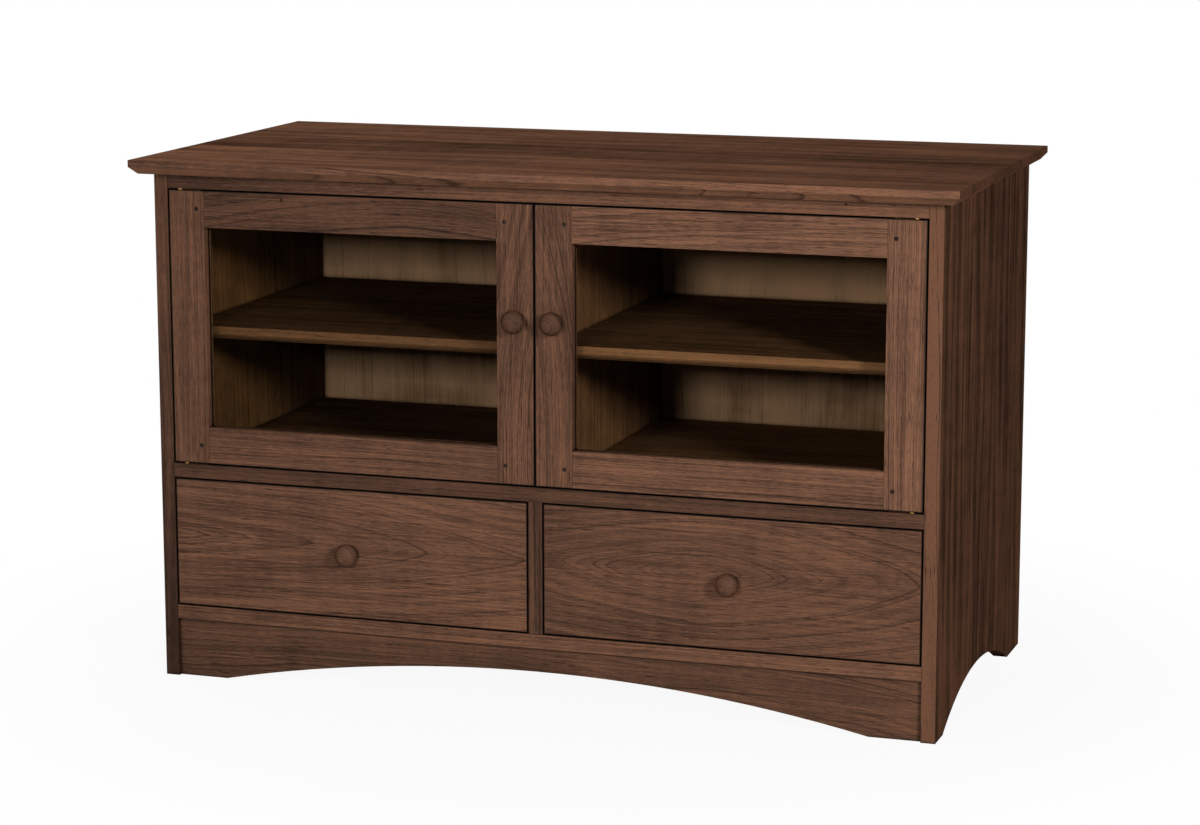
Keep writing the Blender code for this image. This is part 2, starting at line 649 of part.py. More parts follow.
def make_hinge(side, up, material):
    """Knife hinge at the head or foot of a door: a case leaf with a pin, and a door leaf bored for it."""
    end_name = "upper" if up > 0 else "lower"
    case_face = TOP_RAIL_LOW if up > 0 else MIDDLE_RAIL_TOP
    door_face = DOOR_HIGH if up > 0 else DOOR_LOW
    names = f"{SIDE_NAMES[side]}_{end_name}"
    case_ends = sorted((case_face, case_face + up * HINGE_LEAF_THICKNESS))
    door_ends = sorted((door_face, door_face - up * HINGE_LEAF_THICKNESS))
    case_leaf = leaf(side, *case_ends, 0, f"hinge_case_leaf_{names}", material)
    shoulder = REVEAL - FIT
    reach = REVEAL + HINGE_LEAF_THICKNESS
    pin = [(0, -HINGE_LEAF_THICKNESS / 2), (HINGE_SHOULDER_RADIUS, -HINGE_LEAF_THICKNESS / 2),
           (HINGE_SHOULDER_RADIUS, shoulder), (HINGE_PIN_RADIUS, shoulder), (HINGE_PIN_RADIUS, reach), (0, reach)]
    place = (side * HINGE_X, HINGE_Y, case_face)
    fuse(case_leaf, turned("pin", pin, place, (0, 0, -up), HINGE_SEGMENTS))
    door_leaf = leaf(side, *door_ends, 0, f"hinge_door_leaf_{names}", material)
    bore_radius = HINGE_PIN_RADIUS + FIT
    bore = [(0, -CUT_OVERRUN), (bore_radius, -CUT_OVERRUN), (bore_radius, HINGE_LEAF_THICKNESS + CUT_OVERRUN),
            (0, HINGE_LEAF_THICKNESS + CUT_OVERRUN)]
    cut(door_leaf, turned("bore", bore, (side * HINGE_X, HINGE_Y, door_face), (0, 0, -up), HINGE_SEGMENTS))
    return case_leaf, door_leaf


# Knobs

def knob_profile():
    """Half outline of a turned knob, from the end of its tenon out to the crown of its dome."""
    points = [(0, -KNOB_TENON_LENGTH), (KNOB_TENON_RADIUS, -KNOB_TENON_LENGTH), (KNOB_TENON_RADIUS, FIT),
              (KNOB_BASE_RADIUS, FIT), (KNOB_BASE_RADIUS, KNOB_BASE_HEIGHT)]
    for step in range(1, KNOB_COVE_STEPS + 1):
        angle = step / KNOB_COVE_STEPS * math.pi / 2
        radius = KNOB_BASE_RADIUS - (KNOB_BASE_RADIUS - KNOB_NECK_RADIUS) * math.sin(angle)
        height = KNOB_NECK_HEIGHT - (KNOB_NECK_HEIGHT - KNOB_BASE_HEIGHT) * math.cos(angle)
        points.append((radius, height))
    for step in range(1, KNOB_COVE_STEPS + 1):
        angle = step / KNOB_COVE_STEPS * math.pi / 2
        radius = KNOB_HEAD_RADIUS - (KNOB_HEAD_RADIUS - KNOB_NECK_RADIUS) * math.cos(angle)
        height = KNOB_NECK_HEIGHT + (KNOB_RIM_HEIGHT - KNOB_NECK_HEIGHT) * math.sin(angle)
        points.append((radius, height))
    for step in range(1, KNOB_DOME_STEPS):
        angle = step / KNOB_DOME_STEPS * math.pi / 2
        radius = KNOB_HEAD_RADIUS * math.cos(angle)
        height = KNOB_RIM_HEIGHT + (KNOB_PROJECTION - KNOB_RIM_HEIGHT) * math.sin(angle)
        points.append((radius, height))
    points.append((0, KNOB_PROJECTION))
    return points


def make_knob(name, across, height, material):
    """Turned knob on the front, tenoned into the wood behind it."""
    return turned(name, knob_profile(), (across, FRONT, height), (0, -1, 0), KNOB_SEGMENTS, material)


def knob_bore(across, height):
    """Cutter for the hole that takes a knob's tenon."""
    radius = KNOB_TENON_RADIUS + FIT
    depth = KNOB_TENON_LENGTH + FIT
    profile = [(0, -depth), (radius, -depth), (radius, CUT_OVERRUN), (0, CUT_OVERRUN)]
    return turned("knob_bore", profile, (across, FRONT, height), (0, -1, 0), KNOB_SEGMENTS)


# Doors

DOOR_RAILS = {"lower": (DOOR_LOW, 1), "upper": (DOOR_HIGH, -1)}


def door_tenon(side, stile_edge, into_stile, edge, inward, clearance):
    """Ends of a door rail's tenon in one stile, grown by a clearance for its mortise."""
    shoulder = (GLASS_SETBACK - DOOR_TENON_THICKNESS) / 2
    root = stile_edge - into_stile * CUT_OVERRUN
    tip = stile_edge + into_stile * (DOOR_TENON_LENGTH + clearance)
    outer = edge + inward * (DOOR_TENON_OUTER_SHOULDER - clearance)
    inner = edge + inward * (DOOR_RAIL_WIDTH - DOOR_TENON_INNER_SHOULDER + clearance)
    y_ends = (FRONT + shoulder - clearance, FRONT + shoulder + DOOR_TENON_THICKNESS + clearance)
    return (side * root, side * tip), y_ends, (outer, inner)


def make_stile(side, name, edge, opening, material):
    """Full-height stile, rabbeted behind for the glass and mortised for both rails."""
    into_stile = 1 if edge > opening else -1
    rabbet = opening + into_stile * GLASS_RABBET
    lip = FRONT + GLASS_SETBACK
    outline = [(edge, FRONT), (opening, FRONT), (opening, lip), (rabbet, lip), (rabbet, DOOR_BACK),
               (edge, DOOR_BACK)]
    outline = [(side * across, along) for across, along in outline]
    stile = prism(name, outline, 2, DOOR_LOW, DOOR_HIGH, material)
    for rail_edge, inward in DOOR_RAILS.values():
        cut(stile, block("mortise", *door_tenon(side, opening, into_stile, rail_edge, inward, FIT)))
    return stile


def make_door_rail(side, name, edge, inward, material):
    """Door rail with a glass rabbet, long back shoulders over the stile rabbets and two tenons."""
    inner = edge + inward * DOOR_RAIL_WIDTH
    rabbet = inner - inward * GLASS_RABBET
    lip = FRONT + GLASS_SETBACK
    outline = [(FRONT, edge), (FRONT, inner), (lip, inner), (lip, rabbet), (DOOR_BACK, rabbet), (DOOR_BACK, edge)]
    reach = GLASS_RABBET - FIT
    rail = prism(name, outline, 0, side * (OPENING_MEETING - reach), side * (OPENING_OUTER + reach), material)
    past_edge, past_inner = edge - inward * CUT_OVERRUN, inner + inward * CUT_OVERRUN
    for stile_edge, into_stile in ((OPENING_MEETING, -1), (OPENING_OUTER, 1)):
        shoulder = side * (stile_edge - into_stile * FIT)
        past_end = side * (stile_edge + into_stile * (reach + CUT_OVERRUN))
        cut(rail, block("front_shoulder", (shoulder, past_end), (FRONT - CUT_OVERRUN, lip + FIT),
                        (past_edge, past_inner)))
        fuse(rail, block("tenon", *door_tenon(side, stile_edge, into_stile, edge, inward, 0)))
    return rail


def make_glass(side, material):
    """Pane held in the rabbets of the door frame."""
    reach = GLASS_RABBET - GLASS_EDGE_CLEARANCE
    x_ends = (side * (OPENING_MEETING - reach), side * (OPENING_OUTER + reach))
    z_ends = (OPENING_LOW - reach, OPENING_HIGH + reach)
    return block(f"glass_{SIDE_NAMES[side]}", x_ends, (GLASS_FRONT, GLASS_BACK), z_ends, material)


def make_glass_stop(side, material):
    """Stop frame that holds the pane from behind."""
    reach = GLASS_RABBET - FIT
    x_ends = (side * (OPENING_MEETING - reach), side * (OPENING_OUTER + reach))
    z_ends = (OPENING_LOW - reach, OPENING_HIGH + reach)
    frame = block(f"glass_stop_{SIDE_NAMES[side]}", x_ends, (GLASS_BACK + FIT, DOOR_BACK), z_ends, material)
    window = block("window", (side * OPENING_MEETING, side * OPENING_OUTER),
                   (GLASS_BACK - CUT_OVERRUN, DOOR_BACK + CUT_OVERRUN), (OPENING_LOW, OPENING_HIGH))
    cut(frame, window)
    return frame


def make_door(side, materials):
    """One glazed door, hung on its axis."""
    hand = SIDE_NAMES[side]
    wood = materials["door"]
    hinge_stile = make_stile(side, f"door_{hand}_hinge_stile", DOOR_OUTER, OPENING_OUTER, wood)
    cut(
        hinge_stile,
        leaf(side, DOOR_HIGH - HINGE_LEAF_THICKNESS - FIT, DOOR_HIGH + CUT_OVERRUN, FIT),
        leaf(side, DOOR_LOW - CUT_OVERRUN, DOOR_LOW + HINGE_LEAF_THICKNESS + FIT, FIT),
    )
    knob_stile = make_stile(side, f"door_{hand}_knob_stile", DOOR_MEETING, OPENING_MEETING, wood)
    cut(knob_stile, knob_bore(side * DOOR_KNOB_X, DOOR_KNOB_Z))
    pieces = [hinge_stile, knob_stile]
    for rail_name, (edge, inward) in DOOR_RAILS.items():
        pieces.append(make_door_rail(side, f"door_{hand}_{rail_name}_rail", edge, inward, wood))
    pieces.append(make_glass(side, materials["glass"]))
    pieces.append(make_glass_stop(side, wood))
    pieces.append(make_knob(f"door_{hand}_knob", side * DOOR_KNOB_X, DOOR_KNOB_Z, materials["knob"]))
    for up in SIDES:
        pieces.append(make_hinge(side, up, materials["brass"])[1])
    hang(f"{hand}_door_axis", (side * HINGE_X, HINGE_Y, DOOR_LOW), pieces)


# Drawers

def dovetails(low, high, root, tip):
    """Tails between two heights, each given as its four corners from the bottom up."""
    pitch = (high - low) / DOVETAIL_COUNT
    half_root = pitch * DOVETAIL_ROOT_SHARE / 2
    half_tip = half_root + abs(tip - root) * DOVETAIL_SLOPE
    tails = []
    for number in range(DOVETAIL_COUNT):
        middle = low + (number + 0.5) * pitch
        tails.append([(root, middle - half_root), (tip, middle - half_tip),
                      (tip, middle + half_tip), (root, middle + half_root)])
    return tails


def socket(tail, reach):
    """Outline that clears a tail all round, reaches past its tip and opens at its root."""
    (root, root_low), (tip, tip_low), (_, tip_high), (_, root_high) = tail
    outward = 1 if tip > root else -1
    base = root - outward * CUT_OVERRUN
    far = tip + outward * reach
    spread = FIT + reach * DOVETAIL_SLOPE
    return [(base, root_low - FIT), (root, root_low - FIT), (far, tip_low - spread),
            (far, tip_high + spread), (root, root_high + FIT), (base, root_high + FIT)]


FRONT_ROOT = DRAWER_FRONT_BACK + FIT
BACK_ROOT = DRAWER_REAR - DRAWER_BACK_THICKNESS - FIT
FRONT_TAILS = dovetails(DRAWER_LOW, DRAWER_SIDE_TOP, FRONT_ROOT, FRONT + DOVETAIL_LAP + FIT)
BACK_TAILS = dovetails(DRAWER_BACK_LOW, DRAWER_BACK_TOP, BACK_ROOT, DRAWER_REAR)


def cut_sockets(board, side, tails, reach):
    """Cut the sockets for both side boards into the ends of a drawer front or back."""
    for wall in ("inner", "outer"):
        face, inside = drawer_wall_ends(side, wall, FIT)
        outward = 1 if face > inside else -1
        for tail in tails:
            cut(board, prism("socket", socket(tail, reach), 0, face + outward * CUT_OVERRUN, inside))


def drawer_wall_ends(side, wall, clearance):
    """Ends across the drawer of its inner or outer side board."""
    if wall == "inner":
        return side * DRAWER_INNER, side * (DRAWER_INNER + DRAWER_SIDE_THICKNESS + clearance)
    return side * DRAWER_OUTER, side * (DRAWER_OUTER - DRAWER_SIDE_THICKNESS - clearance)


def drawer_sheet_space(side, clearance):
    """Ends of the bottom sheet in its grooves, grown by a clearance for the grooves."""
    reach = DRAWER_SIDE_THICKNESS - DRAWER_GROOVE + FIT - clearance
    x_ends = (side * (DRAWER_INNER + reach), side * (DRAWER_OUTER - reach))
    y_ends = (DRAWER_FRONT_BACK - DRAWER_GROOVE + FIT - clearance, DRAWER_REAR)
    return x_ends, y_ends, (DRAWER_SHEET_LOW - clearance, DRAWER_SHEET_TOP + clearance)


def make_drawer_front(side, material):
    """Drawer front with half-blind sockets, a groove for the bottom and a bore for the knob."""
    front = block(f"drawer_{SIDE_NAMES[side]}_front", (side * DRAWER_INNER, side * DRAWER_OUTER),
                  (FRONT, DRAWER_FRONT_BACK), (DRAWER_LOW, DRAWER_HIGH), material)
    cut_sockets(front, side, FRONT_TAILS, FIT)
    x_ends, y_ends, z_ends = drawer_sheet_space(side, FIT)
    cut(front, block("groove", x_ends, (y_ends[0], DRAWER_FRONT_BACK + CUT_OVERRUN), z_ends))
    cut(front, knob_bore(side * DRAWER_MIDDLE, DRAWER_KNOB_Z))
    return front


def make_drawer_side(side, wall, material):
    """Drawer side with tails at both ends and a groove for the bottom."""
    outline = [(FRONT_ROOT, DRAWER_RUN)]
    for tail in FRONT_TAILS:
        outline += tail
    outline += [(FRONT_ROOT, DRAWER_SIDE_TOP), (BACK_ROOT, DRAWER_SIDE_TOP)]
    for tail in reversed(BACK_TAILS):
        outline += reversed(tail)
    ledge = DRAWER_BACK_LOW - FIT
    outline += [(BACK_ROOT, ledge), (DRAWER_REAR, ledge), (DRAWER_REAR, DRAWER_RUN)]
    ends = drawer_wall_ends(side, wall, 0)
    board = prism(f"drawer_{SIDE_NAMES[side]}_{wall}_side", outline, 0, *ends, material)
    sheet_x, sheet_y, sheet_z = drawer_sheet_space(side, FIT)
    cut(board, block("groove", sheet_x, (sheet_y[0], DRAWER_REAR + CUT_OVERRUN), sheet_z))
    return board


def make_drawer_back(side, material):
    """Drawer back, held between the sides by their through tails, above the bottom sheet."""
    y_ends = (DRAWER_REAR - DRAWER_BACK_THICKNESS, DRAWER_REAR)
    back = block(f"drawer_{SIDE_NAMES[side]}_back", (side * DRAWER_INNER, side * DRAWER_OUTER), y_ends,
                 (DRAWER_BACK_LOW, DRAWER_BACK_TOP), material)
    cut_sockets(back, side, BACK_TAILS, CUT_OVERRUN)
    return back


def make_drawer(side, materials):
    """One drawer: front, two sides, back, bottom sheet and knob, on its slide."""
    hand = SIDE_NAMES[side]
    pieces = [
        make_drawer_front(side, materials["drawer"]),
        make_drawer_side(side, "inner", materials["box"]),
        make_drawer_side(side, "outer", materials["box"]),
        make_drawer_back(side, materials["box"]),
        block(f"drawer_{hand}_bottom", *drawer_sheet_space(side, 0), materials["sheet"]),
        make_knob(f"drawer_{hand}_knob", side * DRAWER_MIDDLE, DRAWER_KNOB_Z, materials["knob"]),
    ]
    hang(f"{hand}_drawer_slide", (side * DRAWER_MIDDLE, FRONT, DRAWER_RUN), pieces)


# Assembly

def centre_origin(piece):
    """Move a piece's origin to the middle of its own bounds without moving its surface."""
    corners = [Vector(corner) for corner in piece.bound_box]
    middle = sum(corners, Vector()) / len(corners)
    piece.data.transform(Matrix.Translation(-middle))
    piece.location = middle


def hang(name, place, pieces):
    """Parent pieces to an empty on the axis that they move about."""
    axis = bpy.data.objects.new(name, None)
    axis.location = place
    bpy.context.scene.collection.objects.link(axis)
    for piece in pieces:
        piece.parent = axis
        piece.matrix_parent_inverse = Matrix.Translation(-Vector(place))


def clear_scene():
    """Remove every object that the file holds."""
    for item in list(bpy.data.objects):
        bpy.data.objects.remove(item)


def build():
    """Make the whole console."""
    clear_scene()
    materials = make_materials()
    make_top(materials["top"])
    make_top_rail(materials["face"])
    make_middle_rail(materials["face"])
    make_bottom_rail(materials["face"])
    make_rail("top_back_rail", materials["inside"])
    make_apron(materials["apron"])
    make_cabinet_floor(materials["inside"])
    make_case_bottom(materials["inside"])
    make_centre_partition(materials["inside"])
    make_drawer_partition(materials["face"])
    make_back_panel(materials["plywood"])
    make_catch(materials["catch"])
    for side in SIDES:
        make_side(side, materials["side"])
        make_shelf(side, materials["inside"])
        make_shelf_pins(side, materials["brass"])
        make_drawer_stop(side, materials["box"])
        make_door(side, materials)
        make_drawer(side, materials)
    for piece in bpy.data.objects:
        if piece.type == "MESH":
            centre_origin(piece)


build()
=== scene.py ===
"""Finishes, small fittings, floor, light and camera of a walnut media console with glazed doors."""
import math

import bmesh
import bpy
from bpy.props import FloatProperty, FloatVectorProperty, IntProperty, PointerProperty
from mathutils import Euler, Matrix, Vector


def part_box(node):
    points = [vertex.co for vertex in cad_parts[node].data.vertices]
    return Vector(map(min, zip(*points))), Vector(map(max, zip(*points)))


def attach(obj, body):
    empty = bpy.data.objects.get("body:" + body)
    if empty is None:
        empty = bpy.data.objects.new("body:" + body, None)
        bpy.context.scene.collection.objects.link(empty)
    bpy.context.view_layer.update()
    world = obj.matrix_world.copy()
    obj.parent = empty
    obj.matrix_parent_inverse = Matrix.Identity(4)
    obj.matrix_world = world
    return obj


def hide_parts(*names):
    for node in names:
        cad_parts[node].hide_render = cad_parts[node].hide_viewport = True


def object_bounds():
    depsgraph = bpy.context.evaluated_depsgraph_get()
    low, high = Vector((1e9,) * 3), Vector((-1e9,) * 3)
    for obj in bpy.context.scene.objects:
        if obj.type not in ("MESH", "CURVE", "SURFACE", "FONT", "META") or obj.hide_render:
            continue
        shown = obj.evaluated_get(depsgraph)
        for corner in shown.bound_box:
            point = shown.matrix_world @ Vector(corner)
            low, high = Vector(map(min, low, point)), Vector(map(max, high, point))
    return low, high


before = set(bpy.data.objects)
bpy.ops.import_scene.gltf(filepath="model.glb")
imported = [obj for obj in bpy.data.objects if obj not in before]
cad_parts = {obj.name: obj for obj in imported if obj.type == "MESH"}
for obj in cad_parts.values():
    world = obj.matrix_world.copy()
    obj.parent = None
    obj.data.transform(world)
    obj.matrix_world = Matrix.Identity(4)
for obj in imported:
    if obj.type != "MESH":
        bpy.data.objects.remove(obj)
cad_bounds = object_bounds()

bl_info = {
    "name": "Walnut Media Console",
    "version": (1, 0, 0),
    "blender": (4, 5, 0),
    "location": "View3D > Sidebar > Console",
    "description": "Finishes a walnut media console and adds its pegs, knobs and small fittings",
    "category": "Object",
}

MM = 0.001
HANDS = ("left", "right")
WHITE = (1, 1, 1, 1)
SIDES = ((-1, "left"), (1, "right"))
# Where the two screws of a hinge leaf sit, as shares of its length
SCREWS_ALONG = (0.16, 0.48)
# Floor, in metres: its radius, where its shadow starts to fade away from the console, and where it is plain
# white. Nearer in, all but a small share of it is white too.
FLOOR_RADIUS = 24
FADE_FROM = 0.55
FADE_TO = 1.2
WHITE_SHARE = 0.93
# Lamps: name, place and size, in metres
LAMPS = (("front", (0.0, -3.9, 1.38), (0.45, 0.33)),
         ("key", (3.8, -3.5, 2.0), (0.8, 0.8)),
         ("overhead", (-1.0, -0.2, 2.3), (2.2, 1.4)))
# Camera: its place in metres, its turns in radians and its sensor in millimetres
CAMERA_PLACE = (1.5247, -4.5233, 1.2813)
YAW, PITCH, ROLL = 0.3241, -0.1864, -0.0008
SENSOR_WIDTH = 36


# Colours and nodes

def linear(code):
    """Linear colour, with alpha, of an sRGB hex code."""
    shares = [int(code[place:place + 2], 16) / 255 for place in (1, 3, 5)]
    return [share / 12.92 if share <= 0.04045 else ((share + 0.055) / 1.055) ** 2.4 for share in shares] + [1]


def scaled(colour, *shares):
    """Colour with each of its three channels multiplied by a share."""
    return [channel * share for channel, share in zip(colour, shares)] + [1]


def add(tree, kind, inputs=(), stops=(), **settings):
    """Adds a shader node with its settings, its ramp's stops and its inputs: a list, or keyed by socket name,
    or by number where sockets share a name. An input is a value, a socket or the node to link from."""
    node = tree.nodes.new(f"ShaderNode{kind}")
    for setting, value in settings.items():
        setattr(node, setting, value)
    if stops:
        elements = node.color_ramp.elements
        while len(elements) < len(stops):
            elements.new(1)
        for element, (position, colour) in zip(elements, stops):
            element.position = position
            element.color = colour
    for key, value in inputs.items() if isinstance(inputs, dict) else enumerate(inputs):
        if isinstance(value, bpy.types.Node):
            value = next(output for output in value.outputs if output.enabled)
        if isinstance(value, bpy.types.NodeSocket):
            tree.links.new(value, node.inputs[key])
        else:
            node.inputs[key].default_value = value
    return node


def new_material(name):
    """Empty node material and its tree."""
    material = bpy.data.materials.new(name)
    material.use_nodes = True
    material.node_tree.nodes.clear()
    return material, material.node_tree


def dress(thing, material):
    """Gives a node of the frame, or a new piece, one material."""
    if thing.material_slots:
        for slot in thing.material_slots:
            slot.material = material
    else:
        thing.data.materials.append(material)


# Wood

# Each kind of wood: how far its darkest lines and lightest fibres lie from its colour, how strongly it shows
# fibres, clouds along the grain, ripples across it, pores and mineral marks, and how shiny and rough it is.
KINDS = {
    "walnut": dict(dark=(0.34, 0.33, 0.31), light=(1.78, 1.66, 1.52), fibres=1.0, clouds=0.45, ripple=0.3,
                   pores=0.5, marks=0.75, shine=0.08, roughness=0.62),
    "maple": dict(dark=(0.62, 0.52, 0.40), light=(1.10, 1.10, 1.12), fibres=0.7, clouds=0.27, ripple=0.18,
                  pores=0.12, marks=0.1, shine=0.15, roughness=0.5),
    "birch": dict(dark=(0.60, 0.54, 0.46), light=(1.18, 1.17, 1.14), fibres=0.6, clouds=0.35, ripple=0.12,
                  pores=0.12, marks=0.1, shine=0.1, roughness=0.55),
    "stained birch": dict(dark=(0.55, 0.50, 0.44), light=(1.22, 1.20, 1.16), fibres=0.5, clouds=1.9,
                          ripple=0.45, pores=0.15, marks=0.15, shine=0.02, roughness=0.6),
}

# How long a spot of each pattern is, in millimetres, along a board, across it and through it. Real pores are
# 0.4 mm wide, and are drawn wider so that they still show from a step away.
FIBRE = (240, 1.5, 1.5)
SHORT_FIBRE = (14, 0.9, 0.9)
CLOUD = (150, 60, 60)
RIPPLE = (26, 110, 110)
PORE = (9, 0.6, 0.6)
MARK = (36, 2.2, 2.2)
RING_DRIFT = (420, 110, 110)
BAND_LENGTH = 400

# How dark a ring is from its inside out: pale early wood turns into a dark line of late wood and stops short
ONE_RING = ((0.0, 0.1), (0.06, 0), (0.7, 0.06), (0.88, 0.35), (0.95, 1), (1.0, 0.2))

# How often good and bad years take turns, how many rings they and the fibres shift a dark line, and the power
# that leaves most of these lines faint
YEARS = 0.37
YEARS_SHIFT = 2.2
FIBRES_SHIFT = 0.3
FAINTNESS = 1.7

# How far apart the pieces of tree of two staves can lie, in millimetres
STAVE_SHIFT = (900, 90, 30)

# Other sizes on a board, in millimetres: how far in its edges are darkened (partly painted shade) or rubbed
# and highlit (partly a painted highlight), how deep the look of one face goes, and how near a piece casts
# painted shade.
EDGE_REACH = 1.1
SKIN = 0.3
NEARNESS = 6

# How much the shade differs from one ring to the next, and from one stave to the next
RING_SHADES = 0.12
STAVE_SHADES = 0.26

# Shares of a board's own colour: its knots, pores and mineral marks, and dark edge bands that are partly
# painted shade, the painted shade where two pieces almost meet, and the painted warm light on a face inside
# the cabinet.
MARK_AND_SHADE_DARK = (0.16, 0.15, 0.14)
PAINTED_SHADE_DARK = (0.02, 0.02, 0.02)
INSIDE_LIGHT_TINT = (1.05, 1.03, 0.68, 1)

# A straight board cut beside the pith, in millimetres.
# pitch: ring spacing. offset and depth: where the pith runs, across and below the middle of the board
# lean: how offset changes along the board, per metre. sway: how it changes per metre squared
# run: draws the rings out into long ovals round the place called eye, in metres along the board
# point: how pointed these ovals are: 2 gives round rings, 1 gives sharp ends
# wander: how far the rings stray. lines: how dark late wood is
# streaks: how strong the wide bands along the rings are. band: their width
# tone: the board's shade of colour, set for each board; it also paints part of the light on it, such as the
# upper front growing lighter to the right. painted_light_slope: painted light, how much lighter the board
# gets per metre. front: the same painted light for its front edge alone
# polish: how much shinier it is than planed wood. seed: which piece of wood it is
# stave: width of the staves that it is glued from. lit_lipping: thickness of a lighter strip on its front
# edge, partly a real lipping and partly painted light on an edge that is lit more than the face beside it
# wear_and_sheen: how far its edges are rubbed bare and lit by a painted highlight. ends: how dark its end
# grain is
# gap: how far in from its edges a board beside a narrow gap is darkened by painted shade
# free: which long edge of it lies at the gap, 1 or -1, or 0 for both
# inner: which face, 1 or -1 through it, lies inside the cabinet and is tinted by painted warm light
# knots: small dark knots, each with its place, its reach and how dark it is
# pale: soft lighter patches of painted light, given in the same way
STRAIGHT = dict(pitch=4.6, offset=150, lean=0, sway=0, depth=60, run=0, eye=0, wander=5, lines=0.9,
                streaks=1, band=6, painted_light_slope=0, polish=0, tone=1.0, seed=0, stave=0, wear_and_sheen=0, lit_lipping=0, gap=0,
                free=0, ends=0.45, inner=0, point=1.4, front=0, knots=(), pale=())


def place_on_board(tree, node, axes):
    """Place in millimetres from the middle of a board: along its grain, across it and through it."""
    low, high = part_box(node)
    order = ["xyz".index(axis) for axis in axes]
    middle = (low + high) / 2
    here = add(tree, "SeparateXYZ", [add(tree, "TexCoord").outputs["Object"]])
    turned = add(tree, "CombineXYZ", {slot: here.outputs[axis] for slot, axis in enumerate(order)})
    place = add(tree, "Mapping", {"Vector": turned, "Location": [middle[axis] for axis in order],
                                  "Scale": (MM, MM, MM)}, vector_type="TEXTURE")
    return place, [(high[axis] - low[axis]) / 2 / MM for axis in order]


def staves(tree, place, width, seed):
    """Cuts a wide board into glued staves, each from its own piece of tree, and gives each a random shade."""
    across = add(tree, "SeparateXYZ", [place]).outputs[1]
    number = add(tree, "Math", [add(tree, "Math", [across, width], operation="DIVIDE")], operation="ROUND")
    chance = random_by_number(tree, number, seed)
    shift = add(tree, "VectorMath", [chance.outputs["Color"], STAVE_SHIFT], operation="MULTIPLY")
    back = add(tree, "Math", [number, -width], operation="MULTIPLY")
    moved = add(tree, "VectorMath", [place, add(tree, "CombineXYZ", {1: back})], operation="ADD")
    return add(tree, "VectorMath", [moved, shift], operation="ADD"), chance.outputs["Value"]


def random_by_number(tree, number, seed):
    """Random value and colour of each whole number."""
    place = add(tree, "Math", [number, seed + 0.5], operation="ADD")
    return add(tree, "TexWhiteNoise", {"W": place}, noise_dimensions="1D")


def stretched_noise(tree, place, lengths, detail, seed, rough=0.5):
    """Noise whose spots are as long as lengths, in millimetres, along, across and through the board."""
    spots = add(tree, "VectorMath", [place, [1 / length for length in lengths]], operation="MULTIPLY")
    moved = add(tree, "VectorMath", [spots, (seed * 3.7, seed * 9.1, seed * 5.3)], operation="ADD")
    return add(tree, "TexNoise", {"Vector": moved, "Scale": 1, "Detail": detail, "Roughness": rough})


def growth_rings(tree, place, cut, fibres):
    """Dark late-wood lines, a shade for each ring between them, and the place along and across the rings."""
    seed = cut["seed"]
    split = add(tree, "SeparateXYZ", [place])
    # Metres along the board, and the way to the pith across and through it
    along = add(tree, "Math", [split.outputs[0], MM], operation="MULTIPLY")
    bend = add(tree, "Math", [along, -cut["sway"], -cut["lean"]], operation="MULTIPLY_ADD")
    side = add(tree, "Math", [bend, along, cut["offset"]], operation="MULTIPLY_ADD")
    across = add(tree, "Math", [split.outputs[1], side], operation="ADD")
    deep = add(tree, "Math", [split.outputs[2], cut["depth"]], operation="ADD")
    run = add(tree, "Math", [along, cut["run"], -cut["run"] * cut["eye"]], operation="MULTIPLY_ADD")
    from_pith = add(tree, "CombineXYZ", [run, across, deep])
    drift = stretched_noise(tree, place, RING_DRIFT, 1.5, seed)
    centred = add(tree, "VectorMath", [drift.outputs["Color"], (0.5, 0.5, 0.5)], operation="SUBTRACT")
    wander = add(tree, "VectorMath", {0: centred, "Scale": 4 * cut["wander"]}, operation="SCALE")
    pith = add(tree, "VectorMath", [from_pith, wander], operation="ADD")
    sizes = add(tree, "VectorMath", [pith], operation="ABSOLUTE")
    powers = add(tree, "VectorMath", [sizes, [cut["point"]] * 3], operation="POWER")
    total = add(tree, "VectorMath", [powers, (1, 1, 1)], operation="DOT_PRODUCT").outputs["Value"]
    radius = add(tree, "Math", [total, 1 / cut["point"]], operation="POWER")
    on_rings = add(tree, "CombineXYZ", [split.outputs[0], radius])
    rings = add(tree, "Math", [radius, cut["pitch"]], operation="DIVIDE")
    years = add(tree, "TexNoise", {"W": rings, "Scale": YEARS, "Detail": 1}, noise_dimensions="1D")
    uneven = add(tree, "Math", [years, YEARS_SHIFT, rings], operation="MULTIPLY_ADD")
    count = add(tree, "Math", [fibres, FIBRES_SHIFT, uneven], operation="MULTIPLY_ADD")
    number = add(tree, "Math", [count], operation="FLOOR")
    chance = random_by_number(tree, number, seed)
    strength = add(tree, "Math", [chance.outputs["Value"], FAINTNESS], operation="POWER")
    through = add(tree, "Math", [count], operation="FRACT")
    stops = [(share, (dark, dark, dark, 1)) for share, dark in ONE_RING]
    late = add(tree, "ValToRGB", [through], stops=stops)
    line = add(tree, "Math", [late, strength], operation="MULTIPLY")
    shade = add(tree, "SeparateColor", [chance.outputs["Color"]])
    return line, shade.outputs[1], on_rings


